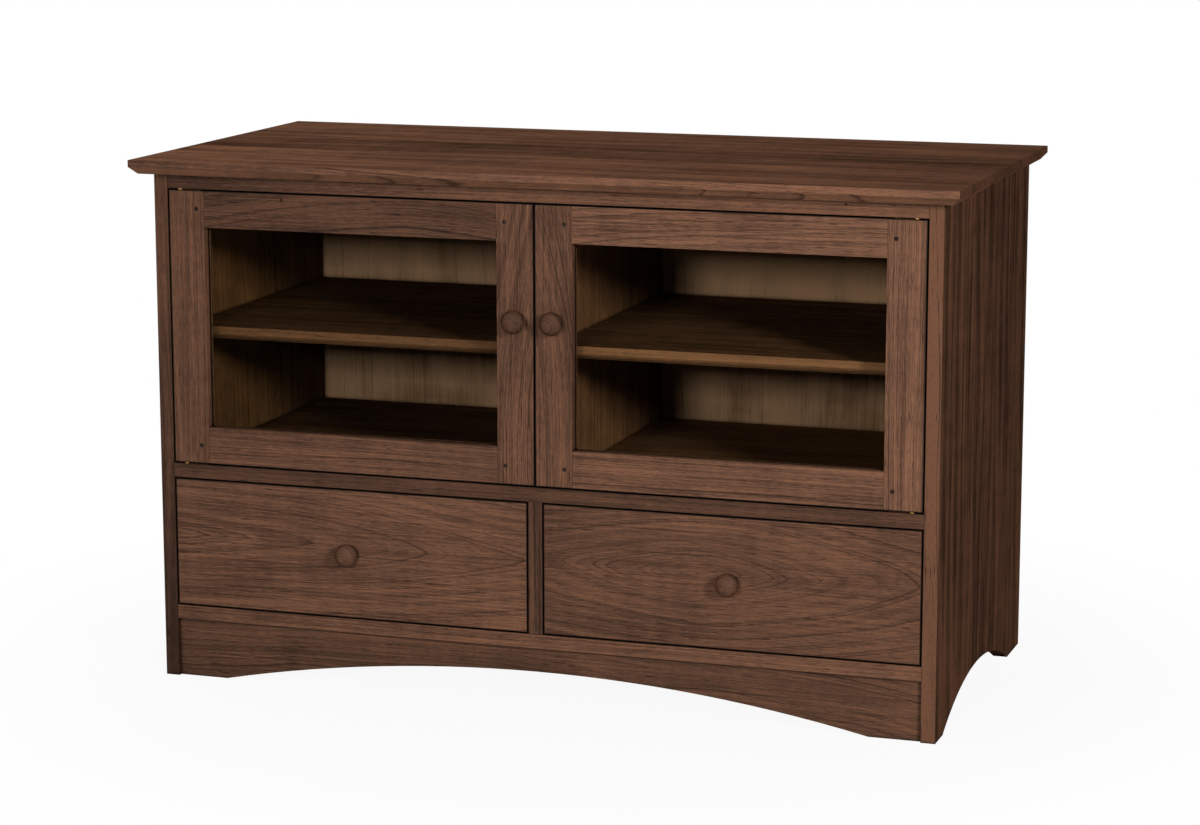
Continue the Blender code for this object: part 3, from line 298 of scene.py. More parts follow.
def near_edges(tree, place, half_sizes, reach, free):
    """One where two faces of the board meet, none elsewhere, and one on the board's ends."""
    away = add(tree, "VectorMath", [place], operation="ABSOLUTE")
    if free:
        signed = add(tree, "VectorMath", [place, (1, free, 1)], operation="MULTIPLY")
        parts = [add(tree, "SeparateXYZ", [vector]).outputs for vector in (away, signed)]
        away = add(tree, "CombineXYZ", [parts[0][0], parts[1][1], parts[0][2]])
    start, full = ([half - part for half in half_sizes] for part in (reach, reach / 5))
    near = add(tree, "MapRange", {"Vector": away, 7: start, 8: full, 9: (0, 0, 0), 10: (1, 1, 1)},
               data_type="FLOAT_VECTOR", interpolation_type="SMOOTHSTEP")
    split = add(tree, "SeparateXYZ", [near.outputs["Vector"]])
    first, second, third = split.outputs
    both = [add(tree, "Math", [one, other], operation="MULTIPLY")
            for one, other in ((first, second), (second, third), (first, third))]
    edge = add(tree, "Math", [both[0], both[1]], operation="MAXIMUM")
    return add(tree, "Math", [edge, both[2]], operation="MAXIMUM"), first


def how_far(tree, middle, reach):
    """Distance from a place of the console, in millimetres, with the reach along each axis as one."""
    here = add(tree, "TexCoord").outputs["Object"]
    away = add(tree, "VectorMath", [here, [part * MM for part in middle]], operation="SUBTRACT")
    scale = add(tree, "VectorMath", [away, [part * MM for part in reach]], operation="DIVIDE")
    return add(tree, "VectorMath", [scale], operation="LENGTH").outputs["Value"]


def wood(name, node, axes, kind="walnut", colour=None, **changes):
    """Material of one board: rings, fibres, clouds, pores, mineral marks, dark ends and worn edges, with
    painted shade along edges and where pieces meet, painted highlights on rubbed edges and painted light
    slopes.
    """
    cut = {**STRAIGHT, **changes}
    look = KINDS[kind]
    seed = cut["seed"]
    base = scaled(colour or bpy.context.scene.console_finish.walnut, *[cut["tone"]] * 3)
    material, tree = new_material(name)
    on_board, half_sizes = place_on_board(tree, node, axes)
    along, across, through = add(tree, "SeparateXYZ", [on_board]).outputs
    place = on_board
    shade = None
    if cut["stave"]:
        place, shade = staves(tree, on_board, cut["stave"], seed)

    fine = stretched_noise(tree, place, FIBRE, 4, seed, 0.62)
    short_fibre = stretched_noise(tree, place, SHORT_FIBRE, 3, seed + 6)
    cloud = stretched_noise(tree, place, CLOUD, 2, seed + 2)
    ripple = stretched_noise(tree, place, RIPPLE, 2, seed + 3)
    line, ring_shade, on_rings = growth_rings(tree, place, cut, fine)
    streak = stretched_noise(tree, on_rings, (BAND_LENGTH, cut["band"], cut["band"]), 3, seed + 1)

    # How light the wood is: nought is dark late wood, one half its own colour and one pale fibres
    fibres = look["fibres"]
    tone = add(tree, "Math", [fine, 1.6 * fibres, 0.5 - 0.8 * fibres], operation="MULTIPLY_ADD")
    shades = [(short_fibre, 0.9 * fibres), (streak, 0.7 * fibres * cut["streaks"]), (cloud, look["clouds"]),
              (ripple, look["ripple"]), (ring_shade, RING_SHADES)]
    if shade is not None:
        shades.append((shade, STAVE_SHADES))
    for noise, amount in shades:
        part = add(tree, "Math", [noise, amount, -amount / 2], operation="MULTIPLY_ADD")
        tone = add(tree, "Math", [tone, part], operation="ADD")
    tone = add(tree, "Math", [line, -cut["lines"], tone], operation="MULTIPLY_ADD")
    # Painted light: the board grows lighter along its length
    if cut["painted_light_slope"]:
        tone = add(tree, "Math", [along, cut["painted_light_slope"] * MM, tone], operation="MULTIPLY_ADD")
    # A lighter strip on the front edge: partly a real lipping, partly painted light
    if cut["lit_lipping"]:
        strip = add(tree, "Math", [across, cut["lit_lipping"] - half_sizes[1]], operation="LESS_THAN")
        tone = add(tree, "Math", [strip, 0.5, tone], operation="MULTIPLY_ADD")
    # Painted light: the front face grows lighter towards the right
    if cut["front"]:
        strip = add(tree, "Math", [across, SKIN - half_sizes[1]], operation="LESS_THAN")
        lift = add(tree, "Math", [along, cut["front"] * MM], operation="MULTIPLY")
        tone = add(tree, "Math", [strip, lift, tone], operation="MULTIPLY_ADD")
    # Painted light: soft lighter patches
    for middle, reach, strength in cut["pale"]:
        far = how_far(tree, middle, reach)
        patch = add(tree, "MapRange", [far, 0.4, 1, strength, 0], interpolation_type="SMOOTHSTEP")
        tone = add(tree, "Math", [tone, patch], operation="ADD")
    darkest = scaled(base, *look["dark"])
    dusky = scaled(base, *[(1 + share) / 2 for share in look["dark"]])
    lightest = scaled(base, *look["light"])
    plain = add(tree, "ValToRGB", [tone], stops=[
        (0.02, darkest), (0.3, dusky), (0.5, base), (0.95, lightest)])

    pore_noise = stretched_noise(tree, place, PORE, 1, seed + 4)
    pores = add(tree, "MapRange", [pore_noise, 0.58, 0.7, 0, look["pores"]])
    mark_noise = stretched_noise(tree, place, MARK, 2, seed + 5)
    marks = add(tree, "MapRange", [mark_noise, 0.65, 0.7, 0, look["marks"]])
    dark = add(tree, "Math", [pores, marks], operation="MAXIMUM")
    for middle, reach, strength in cut["knots"]:
        far = how_far(tree, middle, reach)
        ragged = add(tree, "Math", [short_fibre, 1.6, far], operation="MULTIPLY_ADD")
        core = add(tree, "MapRange", [ragged, 1.2, 2.1, strength, 0])
        dark = add(tree, "Math", [dark, core], operation="MAXIMUM")
    # Dark bands along the edges: partly painted shade of the narrow gaps between parts, partly dark joint
    # lines; end grain is darker too
    edge, end = near_edges(tree, on_board, half_sizes, cut["gap"] or EDGE_REACH, cut["free"])
    ends = add(tree, "Math", [end, cut["ends"]], operation="MULTIPLY")
    rims = add(tree, "Math", [edge, 0.6 - cut["wear_and_sheen"], ends], operation="MULTIPLY_ADD")
    marks_and_edge_shade = add(tree, "Math", [dark, rims], operation="MAXIMUM")
    skin = add(tree, "Mix", {0: marks_and_edge_shade, 6: plain, 7: scaled(base, *MARK_AND_SHADE_DARK)}, data_type="RGBA")
    # Rubbed edges go lighter: partly real wear, partly a painted highlight along the arris
    bare_edge_sheen = add(tree, "Math", [edge, cut["wear_and_sheen"]], operation="MULTIPLY")
    rubbed_and_sheen = add(tree, "Math", [bare_edge_sheen, streak], operation="MULTIPLY")
    skin = add(tree, "Mix", {0: rubbed_and_sheen, 6: skin, 7: lightest}, data_type="RGBA")
    # Painted warm light: the face inside the cabinet is tinted yellower
    if cut["inner"]:
        inside = add(tree, "Math", [through, cut["inner"] * (half_sizes[2] - SKIN)],
                     operation="GREATER_THAN" if cut["inner"] > 0 else "LESS_THAN")
        skin = add(tree, "Mix", {0: inside, 6: skin, 7: INSIDE_LIGHT_TINT}, data_type="RGBA", blend_type="MULTIPLY")
    # Painted shade: the wood goes dark where two pieces almost meet, as shade falls in the gaps and corners
    openness = add(tree, "AmbientOcclusion", {"Distance": NEARNESS * MM}, samples=4).outputs["AO"]
    unshaded = add(tree, "MapRange", [openness, 0.4, 0.85, 0, 1]).outputs[0]
    # Beside a narrow gap, the edge band goes fully into the painted shade
    if cut["gap"]:
        off_edge = add(tree, "Math", [1, edge], operation="SUBTRACT")
        unshaded = add(tree, "Math", [unshaded, off_edge], operation="MULTIPLY")
    skin = add(tree, "Mix", {0: unshaded, 6: scaled(base, *PAINTED_SHADE_DARK), 7: skin}, data_type="RGBA")

    # Fibres and pores make the surface rougher or smoother, and rubbed edges smoother
    rough = add(tree, "MapRange", [fine, 0.25, 0.75, look["roughness"] + 0.08, look["roughness"] - 0.06])
    dull = add(tree, "Math", [dark, 0.25, rough], operation="MULTIPLY_ADD")
    polished = add(tree, "Math", [rubbed_and_sheen, -0.12, dull], operation="MULTIPLY_ADD")
    sunk = add(tree, "Math", [dark, -1, fine], operation="MULTIPLY_ADD")
    height = add(tree, "Math", [line, -0.35, sunk], operation="MULTIPLY_ADD")
    bump = add(tree, "Bump", {"Height": height, "Strength": 0.35, "Distance": 0.12 * MM})
    # Open pores leave the oiled surface satin from straight ahead and matt at a low angle
    away = add(tree, "LayerWeight", {"Blend": 0.5}).outputs["Facing"]
    satin = add(tree, "MapRange", [away, 0.25, 0.65, look["shine"] + cut["polish"], 0])
    shader = add(tree, "BsdfPrincipled", {
        "Base Color": skin, "Roughness": polished, "Normal": bump, "IOR": 1.5, "Specular IOR Level": satin})
    add(tree, "OutputMaterial", {"Surface": shader})
    return material


# Boards: which way their grain, their width and their thickness run, and how each was cut. Their tones
# also paint part of the light and shade on them
CASE_BOARDS = {
    "top": ("xyz", dict(
        tone=1.12, wear_and_sheen=0.4, seed=3, stave=152, offset=60, run=70, depth=50, lines=0.8, streaks=1.8,
        band=22, painted_light_slope=0.03, front=0.35, knots=[((-66, 32, 769), (4, 7, 3), 0.6)])),
    "side_left": ("zyx", dict(tone=0.7, painted_light_slope=0.9, seed=5, stave=144, offset=70, run=40, inner=1)),
    "side_right": ("zyx", dict(
        tone=0.74, seed=8, stave=144, offset=70, run=40, streaks=2.2, band=14, lines=1.1, lit_lipping=0.8,
        inner=-1)),
    "top_rail": ("xzy", dict(
        tone=0.97, seed=11, lines=0.6, painted_light_slope=0.5, knots=[((447, -273, 742), (2.6, 6, 1.6), 1)])),
    "middle_rail": ("xzy", dict(tone=0.67, seed=13, lines=0.6)),
    "bottom_rail": ("xzy", dict(tone=1.18, seed=17, lines=0.6, painted_light_slope=0.15)),
    "top_back_rail": ("xyz", dict(tone=0.9, seed=19)),
    "drawer_partition": ("zyx", dict(tone=0.73, seed=23, stave=144)),
    "apron": ("xzy", dict(
        tone=0.87, painted_light_slope=0.12, seed=29, pitch=6, offset=70, depth=14, lean=-40, sway=-70, wander=14)),
}
INSIDE_BOARDS = {
    "cabinet_floor": ("xyz", dict(tone=0.75, seed=31, stave=126, painted_light_slope=0.7)),
    "case_bottom": ("xyz", dict(tone=0.6, seed=37, stave=126)),
    "centre_partition": ("zyx", dict(tone=1.02, seed=41, stave=129)),
    "shelf_left": ("xyz", dict(tone=0.56, seed=43, stave=128, wear_and_sheen=0.8, lit_lipping=4)),
    "shelf_right": ("xyz", dict(tone=0.86, seed=47, stave=128, wear_and_sheen=0.8, lit_lipping=4)),
}
DOOR_BOARDS = {
    "door_left_hinge_stile": ("zxy", dict(tone=0.97, seed=53, lines=0.6, free=-1)),
    "door_left_knob_stile": ("zxy", dict(
        tone=1.08, seed=59, offset=30, depth=20, sway=375, lean=150, free=1,
        knots=[((-11.5, -273, 556), (2.2, 6, 11), 1)])),
    "door_left_lower_rail": ("xzy", dict(tone=1.02, seed=61, offset=90, run=60, lines=0.6, free=-1)),
    "door_left_upper_rail": ("xzy", dict(
        tone=0.75, seed=67, pitch=7, offset=70, depth=15, run=190, eye=0.1, wander=4, lines=1.0, free=1,
        knots=[((-383, -273, 716), (1.8, 6, 4), 0.9)])),
    "door_right_hinge_stile": ("zxy", dict(tone=1.36, seed=71, free=1)),
    "door_right_knob_stile": ("zxy", dict(
        tone=0.98, seed=73, offset=-30, depth=20, sway=-375, lean=-150, free=-1)),
    "door_right_lower_rail": ("xzy", dict(tone=1.2, seed=79, offset=90, run=50, lines=0.6, free=-1)),
    "door_right_upper_rail": ("xzy", dict(
        tone=1.42, seed=83, pitch=6, offset=70, run=120, eye=0.2, wander=4, lines=0.8, free=1)),
}
DRAWER_FRONTS = {
    "drawer_left_front": ("xzy", dict(
        tone=1.12, painted_light_slope=0.15, seed=89, pitch=5, offset=-12, depth=12, run=123, eye=-0.35, wander=4,
        lines=1.1)),
    "drawer_right_front": ("xzy", dict(
        painted_light_slope=0.2, seed=97, offset=-15, depth=5, run=220, eye=-0.049, wander=6, lines=1.0)),
}
# Doors and drawer fronts get painted shade beside the gaps round them
for _, cut in (*DOOR_BOARDS.values(), *DRAWER_FRONTS.values()):
    cut["gap"] = 1.8
BACK_PANEL = dict(tone=0.78, painted_light_slope=0.8, seed=101, pitch=16, offset=20, depth=40, run=90, wander=18, lines=0.45,
                  pale=[((300, 290, 620), (330, 40, 150), 0.5)])
DRAWER_BOTTOM = dict(pitch=18, offset=30, depth=40, run=80, wander=16, lines=0.3)
# Painted light and shade: lighter on the crown and darker towards the cove and foot
TURNED_KNOB = dict(pitch=2.3, offset=3, depth=3, wander=0.8, lines=1.7, streaks=0.5, painted_light_slope=-18, ends=0,
                   polish=0.05, point=2)
PEG = dict(seed=151, pitch=1.6, offset=2, depth=1, wander=0.6, lines=0.5, tone=0.27, point=2)


# Finishes

def float_glass(name):
    """Clear float glass: a faint green body, smooth, that lets lamps light what is behind it. Its index is
    kept low, because the real panes show next to no reflection."""
    material, tree = new_material(name)
    here = add(tree, "TexCoord").outputs["Object"]
    film = add(tree, "TexNoise", {"Vector": here, "Scale": 9, "Detail": 3})
    tint = add(tree, "Mix", {0: film, 6: linear("#fbfdf8"), 7: linear("#fefefc")}, data_type="RGBA")
    glass = add(tree, "BsdfPrincipled", {
        "Base Color": tint, "Roughness": 0.01, "IOR": 1.03, "Transmission Weight": 1})
    ray = add(tree, "LightPath").outputs
    passing = add(tree, "Math", [ray["Is Shadow Ray"], ray["Is Diffuse Ray"]], operation="MAXIMUM")
    clear = add(tree, "BsdfTransparent", {"Color": linear("#fbfdf8")})
    mixed = add(tree, "MixShader", [passing, glass, clear])
    add(tree, "OutputMaterial", {"Surface": mixed})
    return material


def brushed_brass(name):
    """Brass brushed along its length: a warm metal with scratches and, every 4.5 mm or so, a duller, browner
    patch. The scratches lie 0.25 mm apart, coarser than real ones, so that they show."""
    material, tree = new_material(name)
    here = add(tree, "TexCoord").outputs["Object"]
    long_way = add(tree, "VectorMath", [here, (60, 4000, 4000)], operation="MULTIPLY")
    scratch = add(tree, "TexNoise", {"Vector": long_way, "Scale": 1, "Detail": 3})
    patch = add(tree, "TexNoise", {"Vector": here, "Scale": 220, "Detail": 2})
    colour = add(tree, "Mix", {0: patch, 6: linear("#8f6d3a"), 7: linear("#d0aa66")}, data_type="RGBA")
    rough = add(tree, "MapRange", [scratch, 0.3, 0.7, 0.28, 0.46])
    bump = add(tree, "Bump", {"Height": scratch, "Strength": 0.3, "Distance": 0.02 * MM})
    shader = add(tree, "BsdfPrincipled", {
        "Base Color": colour, "Metallic": 1, "Roughness": rough, "Normal": bump})
    add(tree, "OutputMaterial", {"Surface": shader})
    return material


def moulded_plastic(name):
    """Brown ABS from a spark-eroded mould: an even colour with a slightly matt texture of pebbles. They are
    0.45 mm wide, coarser than real ones, so that they show."""
    material, tree = new_material(name)
    here = add(tree, "TexCoord").outputs["Object"]
    pebbles = add(tree, "TexVoronoi", {"Vector": here, "Scale": 2200}, feature="SMOOTH_F1")
    shift = add(tree, "TexNoise", {"Vector": here, "Scale": 90, "Detail": 2})
    colour = add(tree, "Mix", {0: shift, 6: linear("#2b2019"), 7: linear("#3d2d23")}, data_type="RGBA")
    rough = add(tree, "MapRange", [pebbles, 0, 0.6, 0.4, 0.6])
    bump = add(tree, "Bump", {"Height": pebbles, "Strength": 0.4, "Distance": 0.05 * MM})
    shader = add(tree, "BsdfPrincipled", {
        "Base Color": colour, "Roughness": rough, "Normal": bump, "IOR": 1.53})
    add(tree, "OutputMaterial", {"Surface": shader})
    return material


def zinc_plated_steel(name):
    """Bright zinc on pressed steel: a cool grey metal with a soft shine, in clouds 1.1 mm wide."""
    material, tree = new_material(name)
    here = add(tree, "TexCoord").outputs["Object"]
    spangle = add(tree, "TexVoronoi", {"Vector": here, "Scale": 900})
    colour = add(tree, "Mix", {0: spangle, 6: linear("#8d9096"), 7: linear("#b9bcc0")}, data_type="RGBA")
    rough = add(tree, "MapRange", [spangle, 0, 0.7, 0.3, 0.48])
    shader = add(tree, "BsdfPrincipled", {"Base Color": colour, "Metallic": 1, "Roughness": rough})
    add(tree, "OutputMaterial", {"Surface": shader})
    return material


# Shapes

def finished(name, mesh, material, body):
    """New piece at the origin from a bmesh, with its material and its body."""
    bmesh.ops.remove_doubles(mesh, verts=mesh.verts, dist=0.01 * MM)
    bmesh.ops.recalc_face_normals(mesh, faces=mesh.faces)
    data = bpy.data.meshes.new(name)
    mesh.to_mesh(data)
    mesh.free()
    data.set_sharp_from_angle(angle=math.radians(35))
    piece = bpy.data.objects.new(name, data)
    bpy.context.scene.collection.objects.link(piece)
    data.materials.append(material)
    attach(piece, body)
    return piece


def turn(mesh, profile, place, axis, steps):
    """Adds a turned shape: (radius, height) points spun round an axis that starts at place."""
    axis = Vector(axis)
    tilt = axis.to_track_quat("Z", "Y").to_matrix()
    points = [mesh.verts.new(Vector(place) + tilt @ Vector((radius, 0, height)))
              for radius, height in profile]
    edges = [mesh.edges.new(pair) for pair in zip(points, points[1:])]
    bmesh.ops.spin(mesh, geom=points + edges, cent=place, axis=axis, dvec=(0, 0, 0), angle=2 * math.pi,
                   steps=steps, use_merge=True, use_duplicate=False)


def bar(mesh, low, high, edge):
    """Adds a bar between two corners with its edges eased."""
    low, high = Vector(low), Vector(high)
    here = Matrix.Translation((low + high) / 2) @ Matrix.Diagonal((*(high - low), 1))
    made = bmesh.ops.create_cube(mesh, size=1, matrix=here)
    edges = list({link for vert in made["verts"] for link in vert.link_edges})
    bmesh.ops.bevel(mesh, geom=edges, offset=edge, offset_type="OFFSET", affect="EDGES", segments=2,
                    profile=0.5, material=-1, clamp_overlap=True)


def slotted_head(mesh, place, axis, radius, thickness, turned):
    """Adds a flat screw head with a slot. Its face lies at place, and its axis points out of the wood."""
    slot_width = 0.6 * MM
    slot_depth = 0.5 * MM
    part = bmesh.new()
    bmesh.ops.create_cone(part, cap_ends=True, segments=20, radius1=radius * 0.6, radius2=radius,
                          depth=thickness, matrix=Matrix.Translation((0, 0, -thickness / 2)))
    for side in (-1, 1):
        bmesh.ops.bisect_plane(part, geom=part.verts[:] + part.edges[:] + part.faces[:],
                               plane_co=(side * slot_width / 2, 0, 0), plane_no=(1, 0, 0))
    strip = [face for face in part.faces
             if face.normal.z > 0.9 and abs(face.calc_center_median().x) < slot_width / 2]
    lowered = bmesh.ops.extrude_face_region(part, geom=strip)
    corners = [item for item in lowered["geom"] if isinstance(item, bmesh.types.BMVert)]
    bmesh.ops.translate(part, verts=corners, vec=(0, 0, -slot_depth))
    bmesh.ops.delete(part, geom=strip, context="FACES")
    tilt = Vector(axis).to_track_quat("Z", "Y").to_matrix().to_4x4()
    spin = Euler((0, 0, turned)).to_matrix().to_4x4()
    bmesh.ops.transform(part, verts=part.verts, matrix=Matrix.Translation(place) @ tilt @ spin)
    data = bpy.data.meshes.new("head")
    part.to_mesh(data)
    part.free()
    mesh.from_mesh(data)
    bpy.data.meshes.remove(data)


# Sizes and colours that a user would change

COLOUR = dict(subtype="COLOR", size=4, min=0, max=1)


class ConsoleFinish(bpy.types.PropertyGroup):
    walnut: FloatVectorProperty(
        name="Walnut", description="Colour of oiled walnut between its lines", default=linear("#5c4031"),
        **COLOUR)
    maple: FloatVectorProperty(
        name="Maple", description="Colour of the drawer boxes", default=linear("#cfae84"), **COLOUR)
    # The walnut inside the cabinet is yellower, painting the warm light that falls inside it
    inside: FloatVectorProperty(
        name="Inside", description="Colour of the walnut inside the cabinet", default=linear("#5e412c"),
        **COLOUR)
    back: FloatVectorProperty(
        name="Back panel", description="Colour of the stained plywood back", default=linear("#b88f71"),
        **COLOUR)
    birch: FloatVectorProperty(
        name="Drawer bottoms", description="Colour of the birch plywood", default=linear("#cdb085"), **COLOUR)


class ConsoleFittings(bpy.types.PropertyGroup):
    peg: FloatProperty(
        name="Peg", description="Diameter of the pegs in the door joints", default=6.35 * MM, unit="LENGTH")
    peg_inset: FloatProperty(
        name="Peg inset", description="From a stile's inner edge to the middle of a peg", default=12 * MM,
        unit="LENGTH")
    peg_length: FloatProperty(
        name="Peg length", description="How far a peg goes into the door", default=16 * MM, unit="LENGTH")
    peg_proud: FloatProperty(
        name="Peg crown", description="How far a peg's domed end stands proud", default=0.2 * MM,
        unit="LENGTH")
    knob_neck: FloatProperty(
        name="Knob neck", description="Radius of a knob's neck", default=8.5 * MM, unit="LENGTH")
    knob_base: FloatProperty(
        name="Knob base", description="Radius of a knob's foot", default=13.5 * MM, unit="LENGTH")
    knob_tenon: FloatProperty(
        name="Knob tenon", description="Radius of the tenon that holds a knob", default=4.5 * MM,
        unit="LENGTH")
    screw: FloatProperty(
        name="Screw head", description="Radius of the hinge screws' heads", default=2.3 * MM, unit="LENGTH")
    brads: IntProperty(
        name="Brads", description="Brads in each row along the back panel", default=9, min=2)


class ConsoleStage(bpy.types.PropertyGroup):
    floor: FloatVectorProperty(
        name="Floor", description="Colour of the floor", default=linear("#cfcdc9"), **COLOUR)
    front: FloatProperty(
        name="Front light", description="Power of the softbox straight ahead", default=48, unit="POWER")
    key: FloatProperty(
        name="Key light", description="Power of the softbox far to the right", default=190, unit="POWER")
    top: FloatProperty(
        name="Top light", description="Power of the softbox overhead", default=27, unit="POWER")
    room: FloatProperty(
        name="Room light", description="Strength of the light from all round", default=0.09)
    lens: FloatProperty(
        name="Lens", description="Focal length of the camera in millimetres", default=97.9, unit="CAMERA")


GROUPS = {"console_finish": ConsoleFinish, "console_fittings": ConsoleFittings, "console_stage": ConsoleStage}


# Operators

class CONSOLE_OT_finish_case(bpy.types.Operator):
    """Oiled walnut on the case, its inside and the shelves, and stained plywood on the back"""
    bl_idname = "console.finish_case"
    bl_label = "Finish the case"

    def execute(self, context):
        finish = context.scene.console_finish
        for boards, colour in ((CASE_BOARDS, finish.walnut), (INSIDE_BOARDS, finish.inside)):
            for node, (axes, cut) in boards.items():
                dress(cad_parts[node], wood(f"oiled_walnut_{node}", node, axes, colour=colour, **cut))
        back = wood("stained_plywood_back", "back_panel", "zxy", "stained birch", finish.back, **BACK_PANEL)
        dress(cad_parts["back_panel"], back)
        return {"FINISHED"}


class CONSOLE_OT_finish_doors(bpy.types.Operator):
    """Oiled walnut on the door frames and glass stops, and clear float glass in them"""
    bl_idname = "console.finish_doors"
    bl_label = "Finish the doors"

    def execute(self, context):
        for node, (axes, cut) in DOOR_BOARDS.items():
            dress(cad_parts[node], wood(f"oiled_walnut_{node}", node, axes, **cut))
        glass = float_glass("clear_float_glass")
        for number, hand in enumerate(HANDS):
            stop = f"glass_stop_{hand}"
            walnut = wood(f"oiled_walnut_{stop}", stop, "xzy", seed=103 + number, lines=0.4)
            dress(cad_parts[stop], walnut)
            dress(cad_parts[f"glass_{hand}"], glass)
        return {"FINISHED"}


class CONSOLE_OT_finish_drawers(bpy.types.Operator):
    """Oiled walnut on the drawer fronts, clear maple on the boxes and stops, birch plywood on the bottoms"""
    bl_idname = "console.finish_drawers"
    bl_label = "Finish the drawers"

    def execute(self, context):
        finish = context.scene.console_finish
        for node, (axes, cut) in DRAWER_FRONTS.items():
            dress(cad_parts[node], wood(f"oiled_walnut_{node}", node, axes, **cut))
        for number, hand in enumerate(HANDS):
            boards = {f"drawer_{hand}_outer_side": "yzx", f"drawer_{hand}_inner_side": "yzx",
                      f"drawer_{hand}_back": "xzy", f"drawer_stop_{hand}": "xyz"}
            for place, (node, axes) in enumerate(boards.items()):
                maple = wood(f"clear_maple_{node}", node, axes, "maple", finish.maple,
                             seed=107 + 5 * number + place, lines=0.22, offset=90, run=40)
                dress(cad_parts[node], maple)
            bottom = f"drawer_{hand}_bottom"
            birch = wood(f"birch_plywood_{bottom}", bottom, "yxz", "birch", finish.birch, seed=131 + number,
                         **DRAWER_BOTTOM)
            dress(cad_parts[bottom], birch)
        return {"FINISHED"}


class CONSOLE_OT_finish_fittings(bpy.types.Operator):
    """Brushed brass on the hinges and shelf pins, moulded plastic on the door catch"""
    bl_idname = "console.finish_fittings"
    bl_label = "Finish the fittings"

    def execute(self, context):
        brass = brushed_brass("brushed_brass")
        for node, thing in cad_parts.items():
            if node.startswith(("hinge_", "shelf_pin_")):
                dress(thing, brass)
        dress(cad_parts["door_catch"], moulded_plastic("brown_moulded_catch"))
        return {"FINISHED"}


class CONSOLE_OT_knobs(bpy.types.Operator):
    """Turned walnut knobs: a foot, a cove, a mushroom head and the tenon that holds each one"""
    bl_idname = "console.knobs"
    bl_label = "Turn the knobs"

    def execute(self, context):
        sizes = context.scene.console_fittings
        stem, base = sizes.knob_neck, sizes.knob_base
        foot = 1.5 * MM
        gap = 0.3 * MM
        quarter = [step / 12 * math.pi / 2 for step in range(1, 13)]
        knobs = [(part, hand) for part in ("door", "drawer") for hand in HANDS]
        for number, (part, hand) in enumerate(knobs):
            node = f"{part}_{hand}_knob"
            low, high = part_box(node)
            board = f"drawer_{hand}_front" if part == "drawer" else f"door_{hand}_knob_stile"
            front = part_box(board)[0].y
            tenon = front - high.y
            head = (high.x - low.x) / 2
            reach = front - low.y
            rim = reach * 0.42
            neck = reach * 0.22
            profile = [(0, tenon), (sizes.knob_tenon, tenon), (sizes.knob_tenon, gap), (base, gap),
                       (base, foot)]
            profile += [(base - (base - stem) * math.sin(angle), neck - (neck - foot) * math.cos(angle))
                        for angle in quarter]
            profile += [(head - (head - stem) * math.cos(angle), neck + (rim - neck) * math.sin(angle))
                        for angle in quarter]
            profile += [(head * math.cos(angle), rim + (reach - rim) * math.sin(angle))
                        for angle in quarter[:-1]]
            profile.append((0, reach))
            mesh = bmesh.new()
            turn(mesh, profile, ((low.x + high.x) / 2, front, (low.z + high.z) / 2), (0, -1, 0), 64)
            # The doors' knobs are darker than the drawers'
            tone = 0.45 if part == "door" else 0.62
            material = wood(f"turned_walnut_{part}_{hand}", node, "yxz", tone=tone, seed=139 + number,
                            **TURNED_KNOB)
            knob = finished(f"{part}_{hand}_turned_knob", mesh, material, f"{hand}_{part}")
            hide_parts(node)
        return {"FINISHED"}


class CONSOLE_OT_pegs(bpy.types.Operator):
    """Dark end-grain pegs through the eight joints of the doors"""
    bl_idname = "console.pegs"
    bl_label = "Drive the door pegs"

    def execute(self, context):
        sizes = context.scene.console_fittings
        radius = sizes.peg / 2
        chamfer = radius * 0.2
        profile = [(0, -sizes.peg_length), (radius, -sizes.peg_length), (radius, 0),
                   (radius - chamfer, sizes.peg_proud * 0.8), (radius * 0.4, sizes.peg_proud),
                   (0, sizes.peg_proud)]
        for side, hand in SIDES:
            mesh = bmesh.new()
            for stile, inner, inward in (("hinge", min, 1), ("knob", max, -1)):
                low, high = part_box(f"door_{hand}_{stile}_stile")
                across = inner((low.x, high.x), key=abs) + side * sizes.peg_inset * inward
                for rail in ("lower", "upper"):
                    foot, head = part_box(f"door_{hand}_{rail}_rail")
                    turn(mesh, profile, (across, low.y, (foot.z + head.z) / 2), (0, -1, 0), 28)
            material = wood(f"dark_end_grain_pegs_{hand}", f"door_{hand}_knob", "yxz",
                            colour=linear("#5c483c"), **PEG)
            finished(f"door_{hand}_pegs", mesh, material, f"{hand}_door")
        return {"FINISHED"}


class CONSOLE_OT_hinge_screws(bpy.types.Operator):
    """Slotted brass screws in every hinge leaf"""
    bl_idname = "console.hinge_screws"
    bl_label = "Screw the hinges"

    def execute(self, context):
        radius = context.scene.console_fittings.screw
        thickness = 1.4 * MM
        proud = 0.05 * MM
        brass = bpy.data.materials["brushed_brass"]
        for side, hand in SIDES:
            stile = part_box(f"door_{hand}_hinge_stile")
            for owner, body in (("case", "case"), ("door", f"{hand}_door")):
                mesh = bmesh.new()
                for up, end, rail in ((-1, "lower", "middle_rail"), (1, "upper", "top_rail")):
                    low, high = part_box(f"hinge_{owner}_leaf_{hand}_{end}")
                    # A door's leaf lies in the end of its stile, and the case's in the rail that faces it
                    board, out = (stile, up) if owner == "door" else (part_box(rail), -up)
                    face = board[1 if out > 0 else 0].z
                    near = low.x if side > 0 else high.x
                    for share in SCREWS_ALONG:
                        across = near + side * (high.x - low.x) * share
                        place = (across, (low.y + high.y) / 2, face + out * proud)
                        slotted_head(mesh, place, (0, 0, out), radius, thickness, share * 9)
                finished(f"hinge_screws_{owner}_{hand}", mesh, brass, body)
        return {"FINISHED"}


